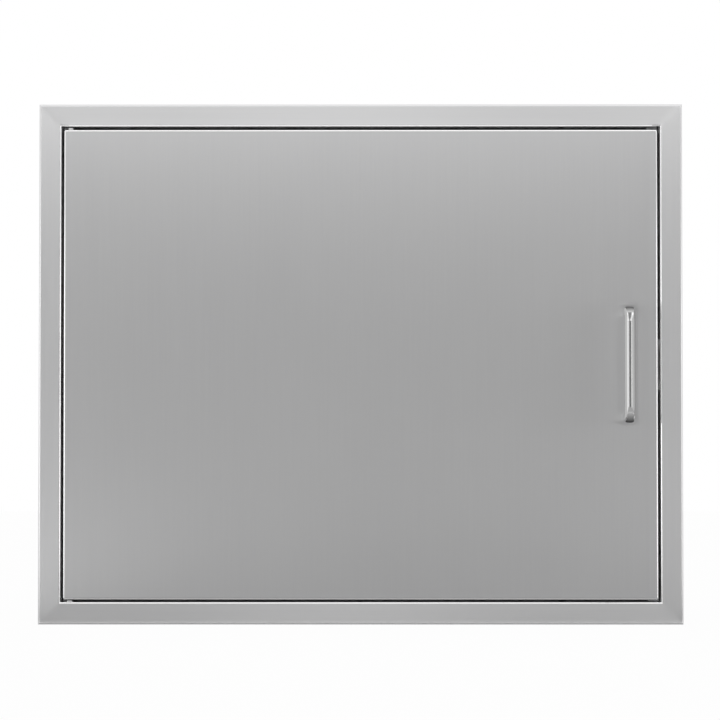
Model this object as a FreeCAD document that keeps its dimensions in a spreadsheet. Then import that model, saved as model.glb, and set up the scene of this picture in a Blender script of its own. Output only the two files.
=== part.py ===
"""Access door of a barbecue island: a flush stainless door that swings in a folded face frame.

X is to the right, Y goes back into the island and Z is up. Sizes are in millimetres. The origin is
the middle of the opening, in the plane of the island's wall, which the frame's edge lip rests on.
"""
import FreeCAD, Part
import math
import os
import Sketcher

Vec = FreeCAD.Vector
doc = FreeCAD.newDocument("access_door")

# Driving dimensions, one row each: name, value in millimetres (or a count), what it measures
DRIVING_DIMENSIONS = (
    ("frame_width", 660.4, "overall width of the face frame"),
    ("frame_height", 533.4, "overall height of the face frame"),
    ("flange_width", 23.0, "visible width of the frame's face"),
    ("frame_metal", 1.2, "sheet of the frame"),
    ("frame_bend", 1.0, "inside radius of the frame's folds"),
    ("frame_proud", 5.0, "how far the face stands in front of the wall"),
    ("frame_depth", 46.0, "how far the box reaches behind the wall's face"),
    ("rear_lip", 10.0, "width of the lip folded in at the rear of the box"),
    ("stop_metal", 1.2, "sheet of the stop angles"),
    ("stop_width", 12.0, "how far a stop reaches into the opening"),
    ("stop_leg", 14.0, "length of a stop's welded leg"),
    ("sweep_clearance", 0.8, "room between the door's rear edge and the stop as the door swings"),
    ("wall_screw_radius", 2.5, "hole for a screw into the island's framing"),
    ("wall_screw_spacing", 300.0, "height between the two wall screws of a side"),
    ("wall_screw_back", 8.5, "from the rear of the box to the wall screws"),
    ("gap_side", 2.5, "gap between door and frame at the sides"),
    ("gap_top", 3.0, "gap above the door"),
    ("gap_bottom", 2.3, "gap below the door"),
    ("door_thickness", 18.0, "face of the door to the back of its liner"),
    ("door_edge_radius", 2.0, "outside radius of the door's folds"),
    ("skin_metal", 1.2, "sheet of the door's skin"),
    ("skin_return", 14.0, "width of the skin's folded rear lips, with the wall"),
    ("liner_metal", 1.2, "sheet of the liner"),
    ("liner_inset", 1.0, "liner's edge inside the skin's edge"),
    ("liner_corner", 3.0, "corner radius of the liner"),
    ("stiffener_metal", 1.0, "sheet of the hat stiffeners"),
    ("stiffener_bend", 1.0, "inside radius of the stiffeners' folds"),
    ("stiffener_crown", 30.0, "width of a stiffener's crown"),
    ("stiffener_foot", 15.0, "width of each foot of a stiffener"),
    ("stiffener_place", 100.0, "middle of the door to the middle of a stiffener"),
    ("stiffener_gap", 1.0, "end of a stiffener to the skin's lips"),
    ("rivet_radius", 1.6, "shank of a liner rivet"),
    ("rivet_head_radius", 3.25, "head of a liner rivet"),
    ("rivet_head_height", 1.3, "height of a liner rivet's head"),
    ("rivet_dome_share", 0.8, "rounding of a rivet's head, as a share of its height"),
    ("rivet_tail_radius", 2.4, "spread tail of a liner rivet"),
    ("rivet_tail_height", 2.0, "height of a liner rivet's tail"),
    ("rivet_end", 70.0, "door's edge to the first rivet of a row"),
    ("rivets_across", 5, "rivets in the top row and in the bottom row"),
    ("rivets_down", 4, "rivets in each side row"),
    ("handle_width", 11.0, "width of the handle's bar, seen from the front"),
    ("handle_depth", 10.0, "depth of the handle's bar, front to back"),
    ("handle_crown", 0.45, "how far the bar's outer face swells between its corners"),
    ("handle_corner", 2.75, "radius of the bar's four long edges"),
    ("handle_span", 108.5, "handle's screws, centre to centre"),
    ("handle_drop", 1.1, "handle's middle below the door's middle"),
    ("handle_reach", 35.0, "door's face to the front of the handle"),
    ("handle_bend", 11.0, "bend radius of the handle on its centre line"),
    ("handle_inset", 30.7, "door's right edge to the handle's centre"),
    ("handle_screw_radius", 2.5, "shank of a handle screw"),
    ("handle_screw_grip", 10.0, "length of a handle screw inside the bar"),
    ("handle_hole_end", 2.0, "handle's screw hole beyond the tip of its screw"),
    ("screw_fit", 0.05, "radial room round a screw in its own hole"),
    ("button_head_radius", 4.75, "head of a handle screw"),
    ("button_head_height", 2.7, "height of a handle screw's head"),
    ("washer_radius", 6.0, "washer under a handle screw"),
    ("washer_thickness", 1.0, "thickness of that washer"),
    ("backing_width", 20.0, "width of the handle's backing plate"),
    ("backing_overhang", 12.0, "backing plate beyond each handle screw"),
    ("backing_metal", 2.0, "thickness of the backing plate"),
    ("plug_radius", 7.0, "body of a liner plug"),
    ("plug_head_radius", 8.5, "head of a liner plug"),
    ("plug_head_height", 1.0, "height of a liner plug's head"),
    ("plug_depth", 3.0, "how far a plug's body reaches into the liner"),
    ("plug_fit", 0.1, "radial room round a plug"),
    ("swing_clearance", 0.64, "room between the door's front edge and the frame as it swings"),
    ("pin_radius", 3.0, "radius of both pivot pins"),
    ("pin_fit", 0.05, "radial running room round a pin"),
    ("pin_point", 0.8, "chamfer at a pin's tip"),
    ("lower_pin_height", 13.0, "how far the lower pin reaches above the rail"),
    ("pin_collar_radius", 4.0, "collar that seats the lower pin on the rail"),
    ("pin_collar_height", 0.8, "height of that collar"),
    ("end_play", 0.3, "room between the lower pin's tip and its bush"),
    ("bush_radius", 4.0, "outside radius of the pivot bushes"),
    ("bush_fit", 0.05, "radial room round a bush in its hole"),
    ("bush_flange_radius", 5.5, "flange of a bush"),
    ("bush_flange_height", 0.8, "thickness of a bush's flange"),
    ("bush_end", 3.0, "closed end of the lower bush"),
    ("pivot_plate_length", 40.0, "length of the plates that double the rails at the pins"),
    ("pivot_plate_depth", 22.0, "depth of those plates"),
    ("pivot_plate_metal", 2.0, "thickness of those plates"),
    ("bracket_metal", 2.0, "thickness of the hinge brackets"),
    ("bracket_bend", 1.0, "inside radius of the brackets' folds"),
    ("bracket_clearance", 0.3, "room between a bracket and the skin's walls"),
    ("lower_bracket_length", 36.0, "length of the lower bracket along the door's edge"),
    ("lower_bracket_height", 34.0, "height of the lower bracket"),
    ("upper_bracket_height", 56.0, "height of the upper bracket"),
    ("pin_travel", 6.0, "how far the upper pin can be drawn down"),
    ("pin_tail", 2.0, "upper pin below its bracket"),
    ("lever_metal", 2.0, "thickness of the release lever"),
    ("lever_width", 8.0, "width of the lever round the pin"),
    ("lever_reach", 20.0, "pin to the far edge of the lever"),
    ("lever_drop", 20.7, "top of the door to the top of the lever"),
    ("lever_tab", 10.0, "width of the lever's tab in the slot"),
    ("lever_out", 7.0, "how far the tab stands behind the liner"),
    ("lever_finger", 8.0, "finger lip below the lever"),
    ("slot_clearance", 0.5, "room round the tab in the liner's slot"),
    ("clip_radius", 4.0, "outside radius of the pin's clip"),
    ("clip_thickness", 1.0, "thickness of the pin's clip"),
    ("clip_groove", 0.6, "depth of the groove that holds the clip"),
    ("clip_mouth", 4.0, "width of the clip's open side"),
    ("spring_wire", 0.8, "wire of the pivot spring"),
    ("spring_room", 0.4, "room between the spring and the pin"),
    ("spring_turns", 9, "turns of the pivot spring, with one closed turn at each end"),
    ("spring_end_pitch", 1.3, "pitch of the closed end turns"),
    ("spring_seat", 0.05, "room between the spring's wire and its seats"),
    ("bumper_radius", 4.5, "radius of a rubber bumper"),
    ("bumper_clearance", 0.2, "room between a bumper and the closed door"),
    ("bumper_edge", 0.6, "rounded edge of a bumper"),
    ("bumper_end", 50.0, "corner of the opening to a bumper"),
    ("catch_width", 13.0, "magnet case, measured off the side wall"),
    ("catch_depth", 18.0, "magnet case, front to back"),
    ("catch_body", 32.0, "height of the case's body"),
    ("catch_length", 48.0, "height of the case with its ears"),
    ("catch_wall", 2.0, "wall of the case beside the pole plates"),
    ("catch_edge", 1.0, "rounded edges of the case"),
    ("ear_thickness", 3.0, "thickness of the case's ears"),
    ("ear_depth", 11.0, "depth of the case's ears"),
    ("ear_back", 3.0, "front of the case to the ears"),
    ("notch_clearance", 2.0, "room round the case in the stop's notch"),
    ("pole_gap", 0.3, "room between the pole plates and the closed door's strike plate"),
    ("pole_stand", 0.6, "how far the pole plates stand out of the case"),
    ("pole_metal", 1.5, "thickness of a pole plate"),
    ("pole_depth", 14.5, "depth of a pole plate"),
    ("pole_fit", 0.1, "room round the pole plates in the case"),
    ("magnet_thickness", 4.0, "thickness of the magnet block"),
    ("magnet_length", 28.0, "height of the magnet block and pole plates"),
    ("magnet_depth", 12.0, "depth of the magnet block"),
    ("catch_screw_radius", 2.0, "shank of a catch screw"),
    ("catch_head_radius", 3.6, "head of a catch screw"),
    ("catch_head_height", 2.2, "height of a catch screw's head"),
    ("catch_screw_out", 1.8, "catch screw's tip outside the box"),
    ("strike_width", 14.0, "width of the strike plate"),
    ("strike_length", 40.0, "height of the strike plate"),
    ("strike_metal", 1.5, "thickness of the strike plate"),
    ("strike_edge", 1.2, "door's edge to the strike plate"),
    ("strike_corner", 2.0, "corner radius of the strike plate"),
    ("strike_screw_spacing", 28.0, "strike plate's screws, centre to centre"),
    ("strike_screw_radius", 1.75, "shank of a strike screw"),
    ("strike_head_radius", 3.0, "countersunk head of a strike screw"),
    ("strike_screw_length", 8.0, "length of a strike screw under its head's cone"),
    ("button_dome_share", 0.6, "rounding of a button head or a plug's head, as a share of its height"),
    ("cone_rim", 0.01, "what is left of the straight edge beside a countersunk head's cone"),
    ("cut_margin", 1.0, "how far a cut's outline passes the metal that it removes"),
    ("socket_share", 0.5, "hex socket across corners, as a share of the screw head's width"),
)

sheet = doc.addObject("Spreadsheet::Sheet", "Sizes")
for row, (name, number, meaning) in enumerate(DRIVING_DIMENSIONS, start=1):
    sheet.set(f"A{row}", meaning)
    sheet.set(f"B{row}", str(number))
    sheet.setAlias(f"B{row}", name)
doc.recompute()

# Places worked out from the driving dimensions, as expressions that the document keeps
FACE = "(-Sizes.frame_proud)"
REAR = "Sizes.frame_depth"
HALF_WIDTH = "(Sizes.frame_width / 2)"
HALF_HEIGHT = "(Sizes.frame_height / 2)"
OPEN_X = f"({HALF_WIDTH} - Sizes.flange_width)"
OPEN_Z = f"({HALF_HEIGHT} - Sizes.flange_width)"
OUTSIDE_X = f"({OPEN_X} + Sizes.frame_metal)"
OUTSIDE_Z = f"({OPEN_Z} + Sizes.frame_metal)"
FRAME_FOLD = "(Sizes.frame_bend + Sizes.frame_metal)"

DOOR_X = f"({OPEN_X} - Sizes.gap_side)"
DOOR_TOP = f"({OPEN_Z} - Sizes.gap_top)"
DOOR_BOTTOM = f"(Sizes.gap_bottom - {OPEN_Z})"
DOOR_MIDDLE = f"(({DOOR_TOP} + {DOOR_BOTTOM}) / 2)"
DOOR_BACK = f"({FACE} + Sizes.door_thickness)"
SKIN_INSIDE = f"({FACE} + Sizes.skin_metal)"
SKIN_BACK = f"({DOOR_BACK} - Sizes.liner_metal)"
LIP_INSIDE = f"({SKIN_BACK} - Sizes.skin_metal)"

# The pins stand as far in from the door's edge and face as the side gap lets the front edge swing
PIVOT_INSET = f"((Sizes.gap_side - Sizes.swing_clearance) / (sqrt(2) - 1) + Sizes.door_edge_radius)"
PIVOT_X = f"({PIVOT_INSET} - {DOOR_X})"
PIVOT_Y = f"({FACE} + {PIVOT_INSET})"
REAR_SWEEP = f"sqrt({PIVOT_INSET}^2 + (Sizes.door_thickness - {PIVOT_INSET})^2)"
STOP_FRONT = f"({PIVOT_Y} + {REAR_SWEEP} + Sizes.sweep_clearance)"
STOP_BACK = f"({STOP_FRONT} + Sizes.stop_metal)"

PLANE_OF_AXIS = {"X": "YZ_Plane", "Y": "XZ_Plane", "Z": "XY_Plane"}
# The XZ plane faces the front, so what lies along +Y is behind it
NORMAL_SIGN = {"X": 1, "Y": -1, "Z": 1}
EXPORTED = []
SAME_PLACE = 0.01
LEAST_CUT = 1e-6


def value(expression):
    """The number that an expression has now."""
    return float(sheet.evalExpression(str(expression)))


def new_body(label, many=False):
    """An empty body whose label is the name of its file; many lets it hold several solids."""
    body = doc.addObject("PartDesign::Body", label)
    body.Label = label
    body.AllowCompound = many
    EXPORTED.append(body)
    return body


def new_sketch(body, axis, level="0"):
    """An empty sketch square to an axis, at a level along it."""
    sketch = body.newObject("Sketcher::SketchObject", "Sketch")
    plane = [f for f in body.Origin.OriginFeatures if f.Role == PLANE_OF_AXIS[axis]][0]
    sketch.AttachmentSupport = (plane, [""])
    sketch.MapMode = "FlatFace"
    sketch.setExpression("AttachmentOffset.Base.z", f"{NORMAL_SIGN[axis]} * {level}")
    return sketch


def fix(sketch, kind, *where, size):
    """One constraint of a sketch, bound to an expression."""
    number = sketch.addConstraint(Sketcher.Constraint(kind, *where, value(size)))
    sketch.setExpression(f"Constraints[{number}]", str(size))


def add_outline(sketch, corners):
    """A closed loop of straight sides through corners, each a pair of expressions."""
    first = sketch.GeometryCount
    spots = [Vec(value(across), value(up), 0) for across, up in corners]
    count = len(spots)
    for i in range(count):
        sketch.addGeometry(Part.LineSegment(spots[i], spots[(i + 1) % count]), False)
    for i in range(count):
        sketch.addConstraint(Sketcher.Constraint("Coincident", first + i, 2, first + (i + 1) % count, 1))
    for i, (across, up) in enumerate(corners):
        fix(sketch, "DistanceX", -1, 1, first + i, 1, size=across)
        fix(sketch, "DistanceY", -1, 1, first + i, 1, size=up)
    return sketch


def add_rectangle(sketch, left, right, low, high):
    """A rectangle between two levels across and two levels up."""
    return add_outline(sketch, [(left, low), (right, low), (right, high), (left, high)])


def add_circles(sketch, spots, radius):
    """Equal circles at spots, each a pair of expressions."""
    for across, up in spots:
        number = sketch.GeometryCount
        centre = Vec(value(across), value(up), 0)
        sketch.addGeometry(Part.Circle(centre, Vec(0, 0, 1), value(radius)), False)
        fix(sketch, "DistanceX", -1, 1, number, 3, size=across)
        fix(sketch, "DistanceY", -1, 1, number, 3, size=up)
        fix(sketch, "Radius", number, size=radius)
    return sketch


def add_hexagons(sketch, spots, radius):
    """Equal hexagons at spots, with their corners at a radius."""
    for across, up in spots:
        corners = []
        for i in range(6):
            turn = f"{60 * i} deg"
            corners.append((f"{across} + {radius} * cos({turn})", f"{up} + {radius} * sin({turn})"))
        add_outline(sketch, corners)
    return sketch


def outline(body, axis, level, corners):
    """A new sketch that holds one closed loop."""
    return add_outline(new_sketch(body, axis, level), corners)


def rectangle(body, axis, level, left, right, low, high):
    """A new sketch that holds one rectangle."""
    return add_rectangle(new_sketch(body, axis, level), left, right, low, high)


def circles(body, axis, level, spots, radius):
    """A new sketch that holds equal circles."""
    return add_circles(new_sketch(body, axis, level), spots, radius)


def hexagons(body, axis, level, spots, radius):
    """A new sketch that holds equal hexagons."""
    return add_hexagons(new_sketch(body, axis, level), spots, radius)


def pad(body, sketch, length, axis, towards=1):
    """Metal added from a sketch, towards the plus or minus side of an axis."""
    feature = body.newObject("PartDesign::Pad", "Pad")
    feature.Profile = sketch
    feature.setExpression("Length", length)
    feature.Reversed = NORMAL_SIGN[axis] != towards
    doc.recompute()
    return feature


def pad_both(body, sketch, length):
    """Metal added evenly to both sides of a sketch."""
    feature = body.newObject("PartDesign::Pad", "Pad")
    feature.Profile = sketch
    feature.SideType = "Symmetric"
    feature.setExpression("Length", length)
    doc.recompute()
    return feature


def cut(body, sketch, length, axis, towards=1):
    """Metal removed from a sketch, towards the plus or minus side of an axis."""
    before = body.Shape.Volume
    feature = body.newObject("PartDesign::Pocket", "Pocket")
    feature.Profile = sketch
    feature.setExpression("Length", length)
    feature.Reversed = NORMAL_SIGN[axis] == towards
    doc.recompute()
    if body.Shape.Volume > before - LEAST_CUT:
        raise RuntimeError(f"a cut of {body.Label} removes nothing")
    return feature


def cut_both(body, sketch, length):
    """Metal removed evenly to both sides of a sketch."""
    before = body.Shape.Volume
    feature = body.newObject("PartDesign::Pocket", "Pocket")
    feature.Profile = sketch
    feature.SideType = "Symmetric"
    feature.setExpression("Length", length)
    doc.recompute()
    if body.Shape.Volume > before - LEAST_CUT:
        raise RuntimeError(f"a cut of {body.Label} removes nothing")
    return feature


def drill(body, sketch, metal):
    """A sketch cut right through the sheet that it lies on; metal is the sheet's thickness."""
    return cut_both(body, sketch, f"4 * {metal}")


def edges_at(body, x=None, y=None, z=None, straight=True):
    """Names of the edges of a body that lie wholly at the given levels."""
    names = []
    wanted = [(axis, value(level)) for axis, level in zip("xyz", (x, y, z)) if level is not None]
    for number, edge in enumerate(body.Tip.Shape.Edges, start=1):
        if straight and not isinstance(edge.Curve, Part.Line):
            continue
        points = edge.discretize(5)
        if all(abs(getattr(p, axis) - level) < SAME_PLACE for p in points for axis, level in wanted):
            names.append(f"Edge{number}")
    return names


def round_over(body, radius, names, kind="PartDesign::Fillet"):
    """A fillet or a chamfer on named edges of a body."""
    if not names:
        raise RuntimeError(f"no edge to round on {body.Label}")
    solid = body.Tip
    feature = body.newObject(kind, kind.split("::")[1])
    feature.Base = (solid, names)
    feature.setExpression("Radius" if kind.endswith("Fillet") else "Size", radius)
    doc.recompute()
    return feature


def turned(label, profile, x, y, z):
    """A piece turned about its own Z axis from a half profile of radius and height pairs."""
    body = new_body(label)
    sketch = outline(body, "Y", "0", profile)
    feature = body.newObject("PartDesign::Revolution", "Revolution")
    feature.Profile = sketch
    feature.ReferenceAxis = (sketch, ["V_Axis"])
    feature.Angle = 360
    for axis, level in zip("xyz", (x, y, z)):
        body.setExpression(f"Placement.Base.{axis}", level)
    doc.recompute()
    return body


# The face frame: four folded lengths, each with an edge lip, a face flange, a box wall and a rear lip.
# Their ends are mitred at 45 degrees and meet face to face where they are welded.

def frame_length(label, upright, side):
    """One length of the frame; side is -1 for left or bottom and 1 for right or top."""
    body = new_body(label)
    outer = HALF_WIDTH if upright else HALF_HEIGHT
    opening = OPEN_X if upright else OPEN_Z
    metal = "Sizes.frame_metal"
    section = [
        (outer, "0"),
        (outer, FACE),
        (opening, FACE),
        (opening, f"{REAR} - {metal}"),
        (f"{opening} - Sizes.rear_lip", f"{REAR} - {metal}"),
        (f"{opening} - Sizes.rear_lip", REAR),
        (f"{opening} + {metal}", REAR),
        (f"{opening} + {metal}", f"{FACE} + {metal}"),
        (f"{outer} - {metal}", f"{FACE} + {metal}"),
        (f"{outer} - {metal}", "0"),
    ]
    section = [(f"{side} * ({out})", back) for out, back in section]
    if upright:
        pad_both(body, outline(body, "Z", "0", section), "Sizes.frame_height")
    else:
        turned_section = [(back, out) for out, back in section]
        pad_both(body, outline(body, "X", "0", turned_section), "Sizes.frame_width")
    for radius, folds in ((FRAME_FOLD, (1, 2, 6)), ("Sizes.frame_bend", (8, 7, 3))):
        names = []
        for out, back in (section[i] for i in folds):
            names += edges_at(body, x=out, y=back) if upright else edges_at(body, y=back, z=out)
        round_over(body, radius, names)
    mitre_frame_ends(body, upright, side)
    return body


def mitre_frame_ends(body, upright, side):
    """Both ends of a length cut on the line from the frame's outer corner into the opening."""
    sketch = new_sketch(body, "Y", f"({FACE} - Sizes.cut_margin)")
    inward = "(Sizes.flange_width + Sizes.rear_lip + Sizes.cut_margin)"
    past_x = f"({HALF_WIDTH} + Sizes.cut_margin)"
    past_z = f"({HALF_HEIGHT} + Sizes.cut_margin)"
    for end in (-1, 1):
        if upright:
            tip = (f"{side} * {past_x}", f"{end} * {past_z}")
            heel = (f"{side} * ({HALF_WIDTH} - {inward})", f"{end} * ({HALF_HEIGHT} - {inward})")
            waste = (heel[0], tip[1])
        else:
            tip = (f"{end} * {past_x}", f"{side} * {past_z}")
            heel = (f"{end} * ({HALF_WIDTH} - {inward})", f"{side} * ({HALF_HEIGHT} - {inward})")
            waste = (tip[0], heel[1])
        add_outline(sketch, [tip, heel, waste])
    cut(body, sketch, "Sizes.frame_proud + Sizes.frame_depth + 2 * Sizes.cut_margin", "Y")


top_rail = frame_length("frame_top_rail", upright=False, side=1)
bottom_rail = frame_length("frame_bottom_rail", upright=False, side=-1)
left_stile = frame_length("frame_left_stile", upright=True, side=-1)
right_stile = frame_length("frame_right_stile", upright=True, side=1)

# Pivot holes in the rails
bush_hole = circles(top_rail, "Z", OPEN_Z, [(PIVOT_X, PIVOT_Y)], "Sizes.bush_radius + Sizes.bush_fit")
drill(top_rail, bush_hole, "Sizes.frame_metal")
pin_hole = circles(bottom_rail, "Z", f"(-{OPEN_Z})", [(PIVOT_X, PIVOT_Y)], "Sizes.pin_radius + Sizes.pin_fit")
drill(bottom_rail, pin_hole, "Sizes.frame_metal")

# Holes for the screws that go sideways into the island's framing
WALL_SCREW_Y = f"({REAR} - Sizes.wall_screw_back)"
for stile, side in ((left_stile, -1), (right_stile, 1)):
    spots = [(WALL_SCREW_Y, f"{end} * Sizes.wall_screw_spacing / 2") for end in (-1, 1)]
    holes = circles(stile, "X", f"({side} * {OPEN_X})", spots, "Sizes.wall_screw_radius")
    drill(stile, holes, "Sizes.frame_metal")


# The stops: angles welded inside the box, which the closed door rests against through its bumpers

def stop_angle(label, upright, side):
    """One stop angle; the side stops are full height and the others fit between them."""
    body = new_body(label)
    opening = OPEN_X if upright else OPEN_Z
    metal = "Sizes.stop_metal"
    section = [
        (opening, STOP_FRONT),
        (opening, f"{STOP_FRONT} + Sizes.stop_leg"),
        (f"{opening} - {metal}", f"{STOP_FRONT} + Sizes.stop_leg"),
        (f"{opening} - {metal}", STOP_BACK),
        (f"{opening} - Sizes.stop_width", STOP_BACK),
        (f"{opening} - Sizes.stop_width", STOP_FRONT),
    ]
    section = [(f"{side} * ({out})", back) for out, back in section]
    if upright:
        pad_both(body, outline(body, "Z", "0", section), f"2 * {OPEN_Z}")
    else:
        turned_section = [(back, out) for out, back in section]
        pad_both(body, outline(body, "X", "0", turned_section),
                 f"2 * ({OPEN_X} - Sizes.stop_width)")
    for radius, fold in ((FRAME_FOLD, 0), ("Sizes.frame_bend", 3)):
        out, back = section[fold]
        round_over(body, radius, edges_at(body, x=out, y=back) if upright else edges_at(body, y=back, z=out))
    return body


stop_angle("stop_top", upright=False, side=1)
stop_angle("stop_bottom", upright=False, side=-1)
stop_angle("stop_left", upright=True, side=-1)
right_stop = stop_angle("stop_right", upright=True, side=1)

# The right stop is notched where the magnetic catch comes through
NOTCH_HALF = "(Sizes.catch_length / 2 + Sizes.notch_clearance)"
notch = rectangle(right_stop, "Z", DOOR_MIDDLE,
                  f"{OPEN_X} - Sizes.stop_width - Sizes.cut_margin", f"{OPEN_X} + Sizes.cut_margin",
                  f"{STOP_FRONT} - Sizes.cut_margin", f"{STOP_BACK} + Sizes.frame_bend")
cut_both(right_stop, notch, f"2 * {NOTCH_HALF}")


# Plates that double the rails where the pins stand, welded to the outside of the box

def pivot_plate(label, side):
    """One doubling plate, above the top rail or below the bottom rail, behind the face's fold."""
    body = new_body(label)
    front = f"({FACE} + Sizes.frame_metal + Sizes.frame_bend)"
    sketch = rectangle(body, "Z", f"({side} * {OUTSIDE_Z})",
                       f"-{OUTSIDE_X}", f"Sizes.pivot_plate_length - {OUTSIDE_X}",
                       front, f"{front} + Sizes.pivot_plate_depth")
    add_circles(sketch, [(PIVOT_X, PIVOT_Y)], BORE)
    pad(body, sketch, "Sizes.pivot_plate_metal", "Z", side)
    return body


BORE = "(Sizes.pin_radius + Sizes.pin_fit)"
PLATE_TOP = f"({OUTSIDE_Z} + Sizes.pivot_plate_metal)"
pivot_plate("upper_pivot_plate", 1)
pivot_plate("lower_pivot_plate", -1)

# Upper bush, which fills the hole of the top rail and is trapped between its flange and the plate
turned("upper_pivot_bush", [
    (BORE, "-Sizes.bush_flange_height"),
    ("Sizes.bush_flange_radius", "-Sizes.bush_flange_height"),
    ("Sizes.bush_flange_radius", "0"),
    ("Sizes.bush_radius", "0"),
    ("Sizes.bush_radius", "Sizes.frame_metal"),
    (BORE, "Sizes.frame_metal"),
], PIVOT_X, PIVOT_Y, OPEN_Z)

# Lower pin, seated on the rail by its collar and riveted over flush under the plate
turned("lower_pivot_pin", [
    ("0", f"{OPEN_Z} - {PLATE_TOP}"),
    ("Sizes.pin_radius", f"{OPEN_Z} - {PLATE_TOP}"),
    ("Sizes.pin_radius", "0"),
    ("Sizes.pin_collar_radius", "0"),
    ("Sizes.pin_collar_radius", "Sizes.pin_collar_height"),
    ("Sizes.pin_radius", "Sizes.pin_collar_height"),
    ("Sizes.pin_radius", "Sizes.lower_pin_height - Sizes.pin_point"),
    ("Sizes.pin_radius - Sizes.pin_point", "Sizes.lower_pin_height"),
    ("0", "Sizes.lower_pin_height"),
], PIVOT_X, PIVOT_Y, f"-{OPEN_Z}")

# Rubber bumpers stuck to the fronts of the stops, away from the hinged edge
BUMPER_LINE = "Sizes.stop_width / 2"
bumper_spots = []
for end in (-1, 1):
    bumper_spots.append((f"{OPEN_X} - {BUMPER_LINE}", f"{end} * ({OPEN_Z} - Sizes.bumper_end)"))
    bumper_spots.append((f"{OPEN_X} - 2 * Sizes.bumper_end", f"{end} * ({OPEN_Z} - {BUMPER_LINE})"))
bumpers = new_body("door_bumpers", many=True)
BUMPER_FRONT = f"({DOOR_BACK} + Sizes.bumper_clearance)"
pad(bumpers, circles(bumpers, "Y", BUMPER_FRONT, bumper_spots, "Sizes.bumper_radius"),
    f"{STOP_FRONT} - {BUMPER_FRONT}", "Y")
round_over(bumpers, "Sizes.bumper_edge", edges_at(bumpers, y=BUMPER_FRONT, straight=False))

# Magnetic catch on the right side wall: a moulded case with ears, a magnet and two pole plates
CASE_SEAT = f"({OPEN_X} - Sizes.stop_metal)"
POLE_FRONT = f"({DOOR_BACK} + Sizes.strike_metal + Sizes.pole_gap)"
CASE_FRONT = f"({POLE_FRONT} + Sizes.pole_stand)"
POLE_OUTER = f"({CASE_SEAT} - Sizes.ear_thickness)"
POLE_INNER = f"({POLE_OUTER} - 2 * Sizes.pole_metal - Sizes.magnet_thickness)"
POLE_BACK = f"({POLE_FRONT} + Sizes.pole_depth)"
EAR_FRONT = f"({CASE_FRONT} + Sizes.ear_back)"
EAR_MIDDLE = f"({EAR_FRONT} + Sizes.ear_depth / 2)"
EAR_SPACING = "((Sizes.catch_body + Sizes.catch_length) / 2)"
catch_spots = [(EAR_MIDDLE, f"{DOOR_MIDDLE} + {end} * {EAR_SPACING} / 2") for end in (-1, 1)]

case = new_body("magnet_catch_case")
case_body = rectangle(case, "Z", DOOR_MIDDLE, f"{CASE_SEAT} - Sizes.catch_width", CASE_SEAT,
                      CASE_FRONT, f"{CASE_FRONT} + Sizes.catch_depth")
pad_both(case, case_body, "Sizes.catch_body")
round_over(case, "Sizes.catch_edge", edges_at(case, x=f"{CASE_SEAT} - Sizes.catch_width"))
ears = rectangle(case, "Z", DOOR_MIDDLE, f"{CASE_SEAT} - Sizes.ear_thickness", CASE_SEAT,
                 EAR_FRONT, f"{EAR_FRONT} + Sizes.ear_depth")
pad_both(case, ears, "Sizes.catch_length")
MAGNET_LOW = f"({DOOR_MIDDLE} - Sizes.magnet_length / 2)"
MAGNET_HIGH = f"({DOOR_MIDDLE} + Sizes.magnet_length / 2)"
pocket = rectangle(case, "Y", CASE_FRONT,
                   f"{POLE_INNER} - Sizes.pole_fit", f"{POLE_OUTER} + Sizes.pole_fit",
                   f"{MAGNET_LOW} - Sizes.pole_fit", f"{MAGNET_HIGH} + Sizes.pole_fit")
cut(case, pocket, f"{POLE_BACK} - {CASE_FRONT}", "Y")
CATCH_HOLE = "Sizes.catch_screw_radius + Sizes.screw_fit"
for holed, level in ((case, CASE_SEAT), (right_stop, CASE_SEAT), (right_stile, OPEN_X)):
    cut_both(holed, circles(holed, "X", level, catch_spots, CATCH_HOLE), "2 * Sizes.ear_thickness")

magnet = new_body("magnet_block")
magnet_end = rectangle(magnet, "Y", f"({POLE_BACK} - Sizes.magnet_depth)",
                       f"{POLE_INNER} + Sizes.pole_metal", f"{POLE_OUTER} - Sizes.pole_metal",
                       MAGNET_LOW, MAGNET_HIGH)
pad(magnet, magnet_end, "Sizes.magnet_depth", "Y")

poles = new_body("magnet_pole_plates", many=True)
pole_sketch = new_sketch(poles, "Y", POLE_FRONT)
for left in (POLE_INNER, f"({POLE_OUTER} - Sizes.pole_metal)"):
    add_rectangle(pole_sketch, left, f"{left} + Sizes.pole_metal", MAGNET_LOW, MAGNET_HIGH)
pad(poles, pole_sketch, "Sizes.pole_depth", "Y")

CATCH_HEAD = f"({CASE_SEAT} - Sizes.ear_thickness - Sizes.catch_head_height)"
catch_screws = new_body("magnet_catch_screws", many=True)
pad(catch_screws, circles(catch_screws, "X", CATCH_HEAD, catch_spots, "Sizes.catch_head_radius"),
    "Sizes.catch_head_height", "X")
round_over(catch_screws, "Sizes.catch_head_height / 2", edges_at(catch_screws, x=CATCH_HEAD, straight=False))
CATCH_SHANK = f"({CATCH_HEAD} + Sizes.catch_head_height)"
pad(catch_screws, circles(catch_screws, "X", CATCH_SHANK, catch_spots, "Sizes.catch_screw_radius"),
    f"{OUTSIDE_X} + Sizes.catch_screw_out - {CATCH_SHANK}", "X")
CATCH_SOCKET = "Sizes.catch_head_radius * Sizes.socket_share"
cut(catch_screws, hexagons(catch_screws, "X", CATCH_HEAD, catch_spots, CATCH_SOCKET),
    "Sizes.catch_head_height / 2", "X")


# The door: a folded pan closed by a liner, with two hat stiffeners between them

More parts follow.
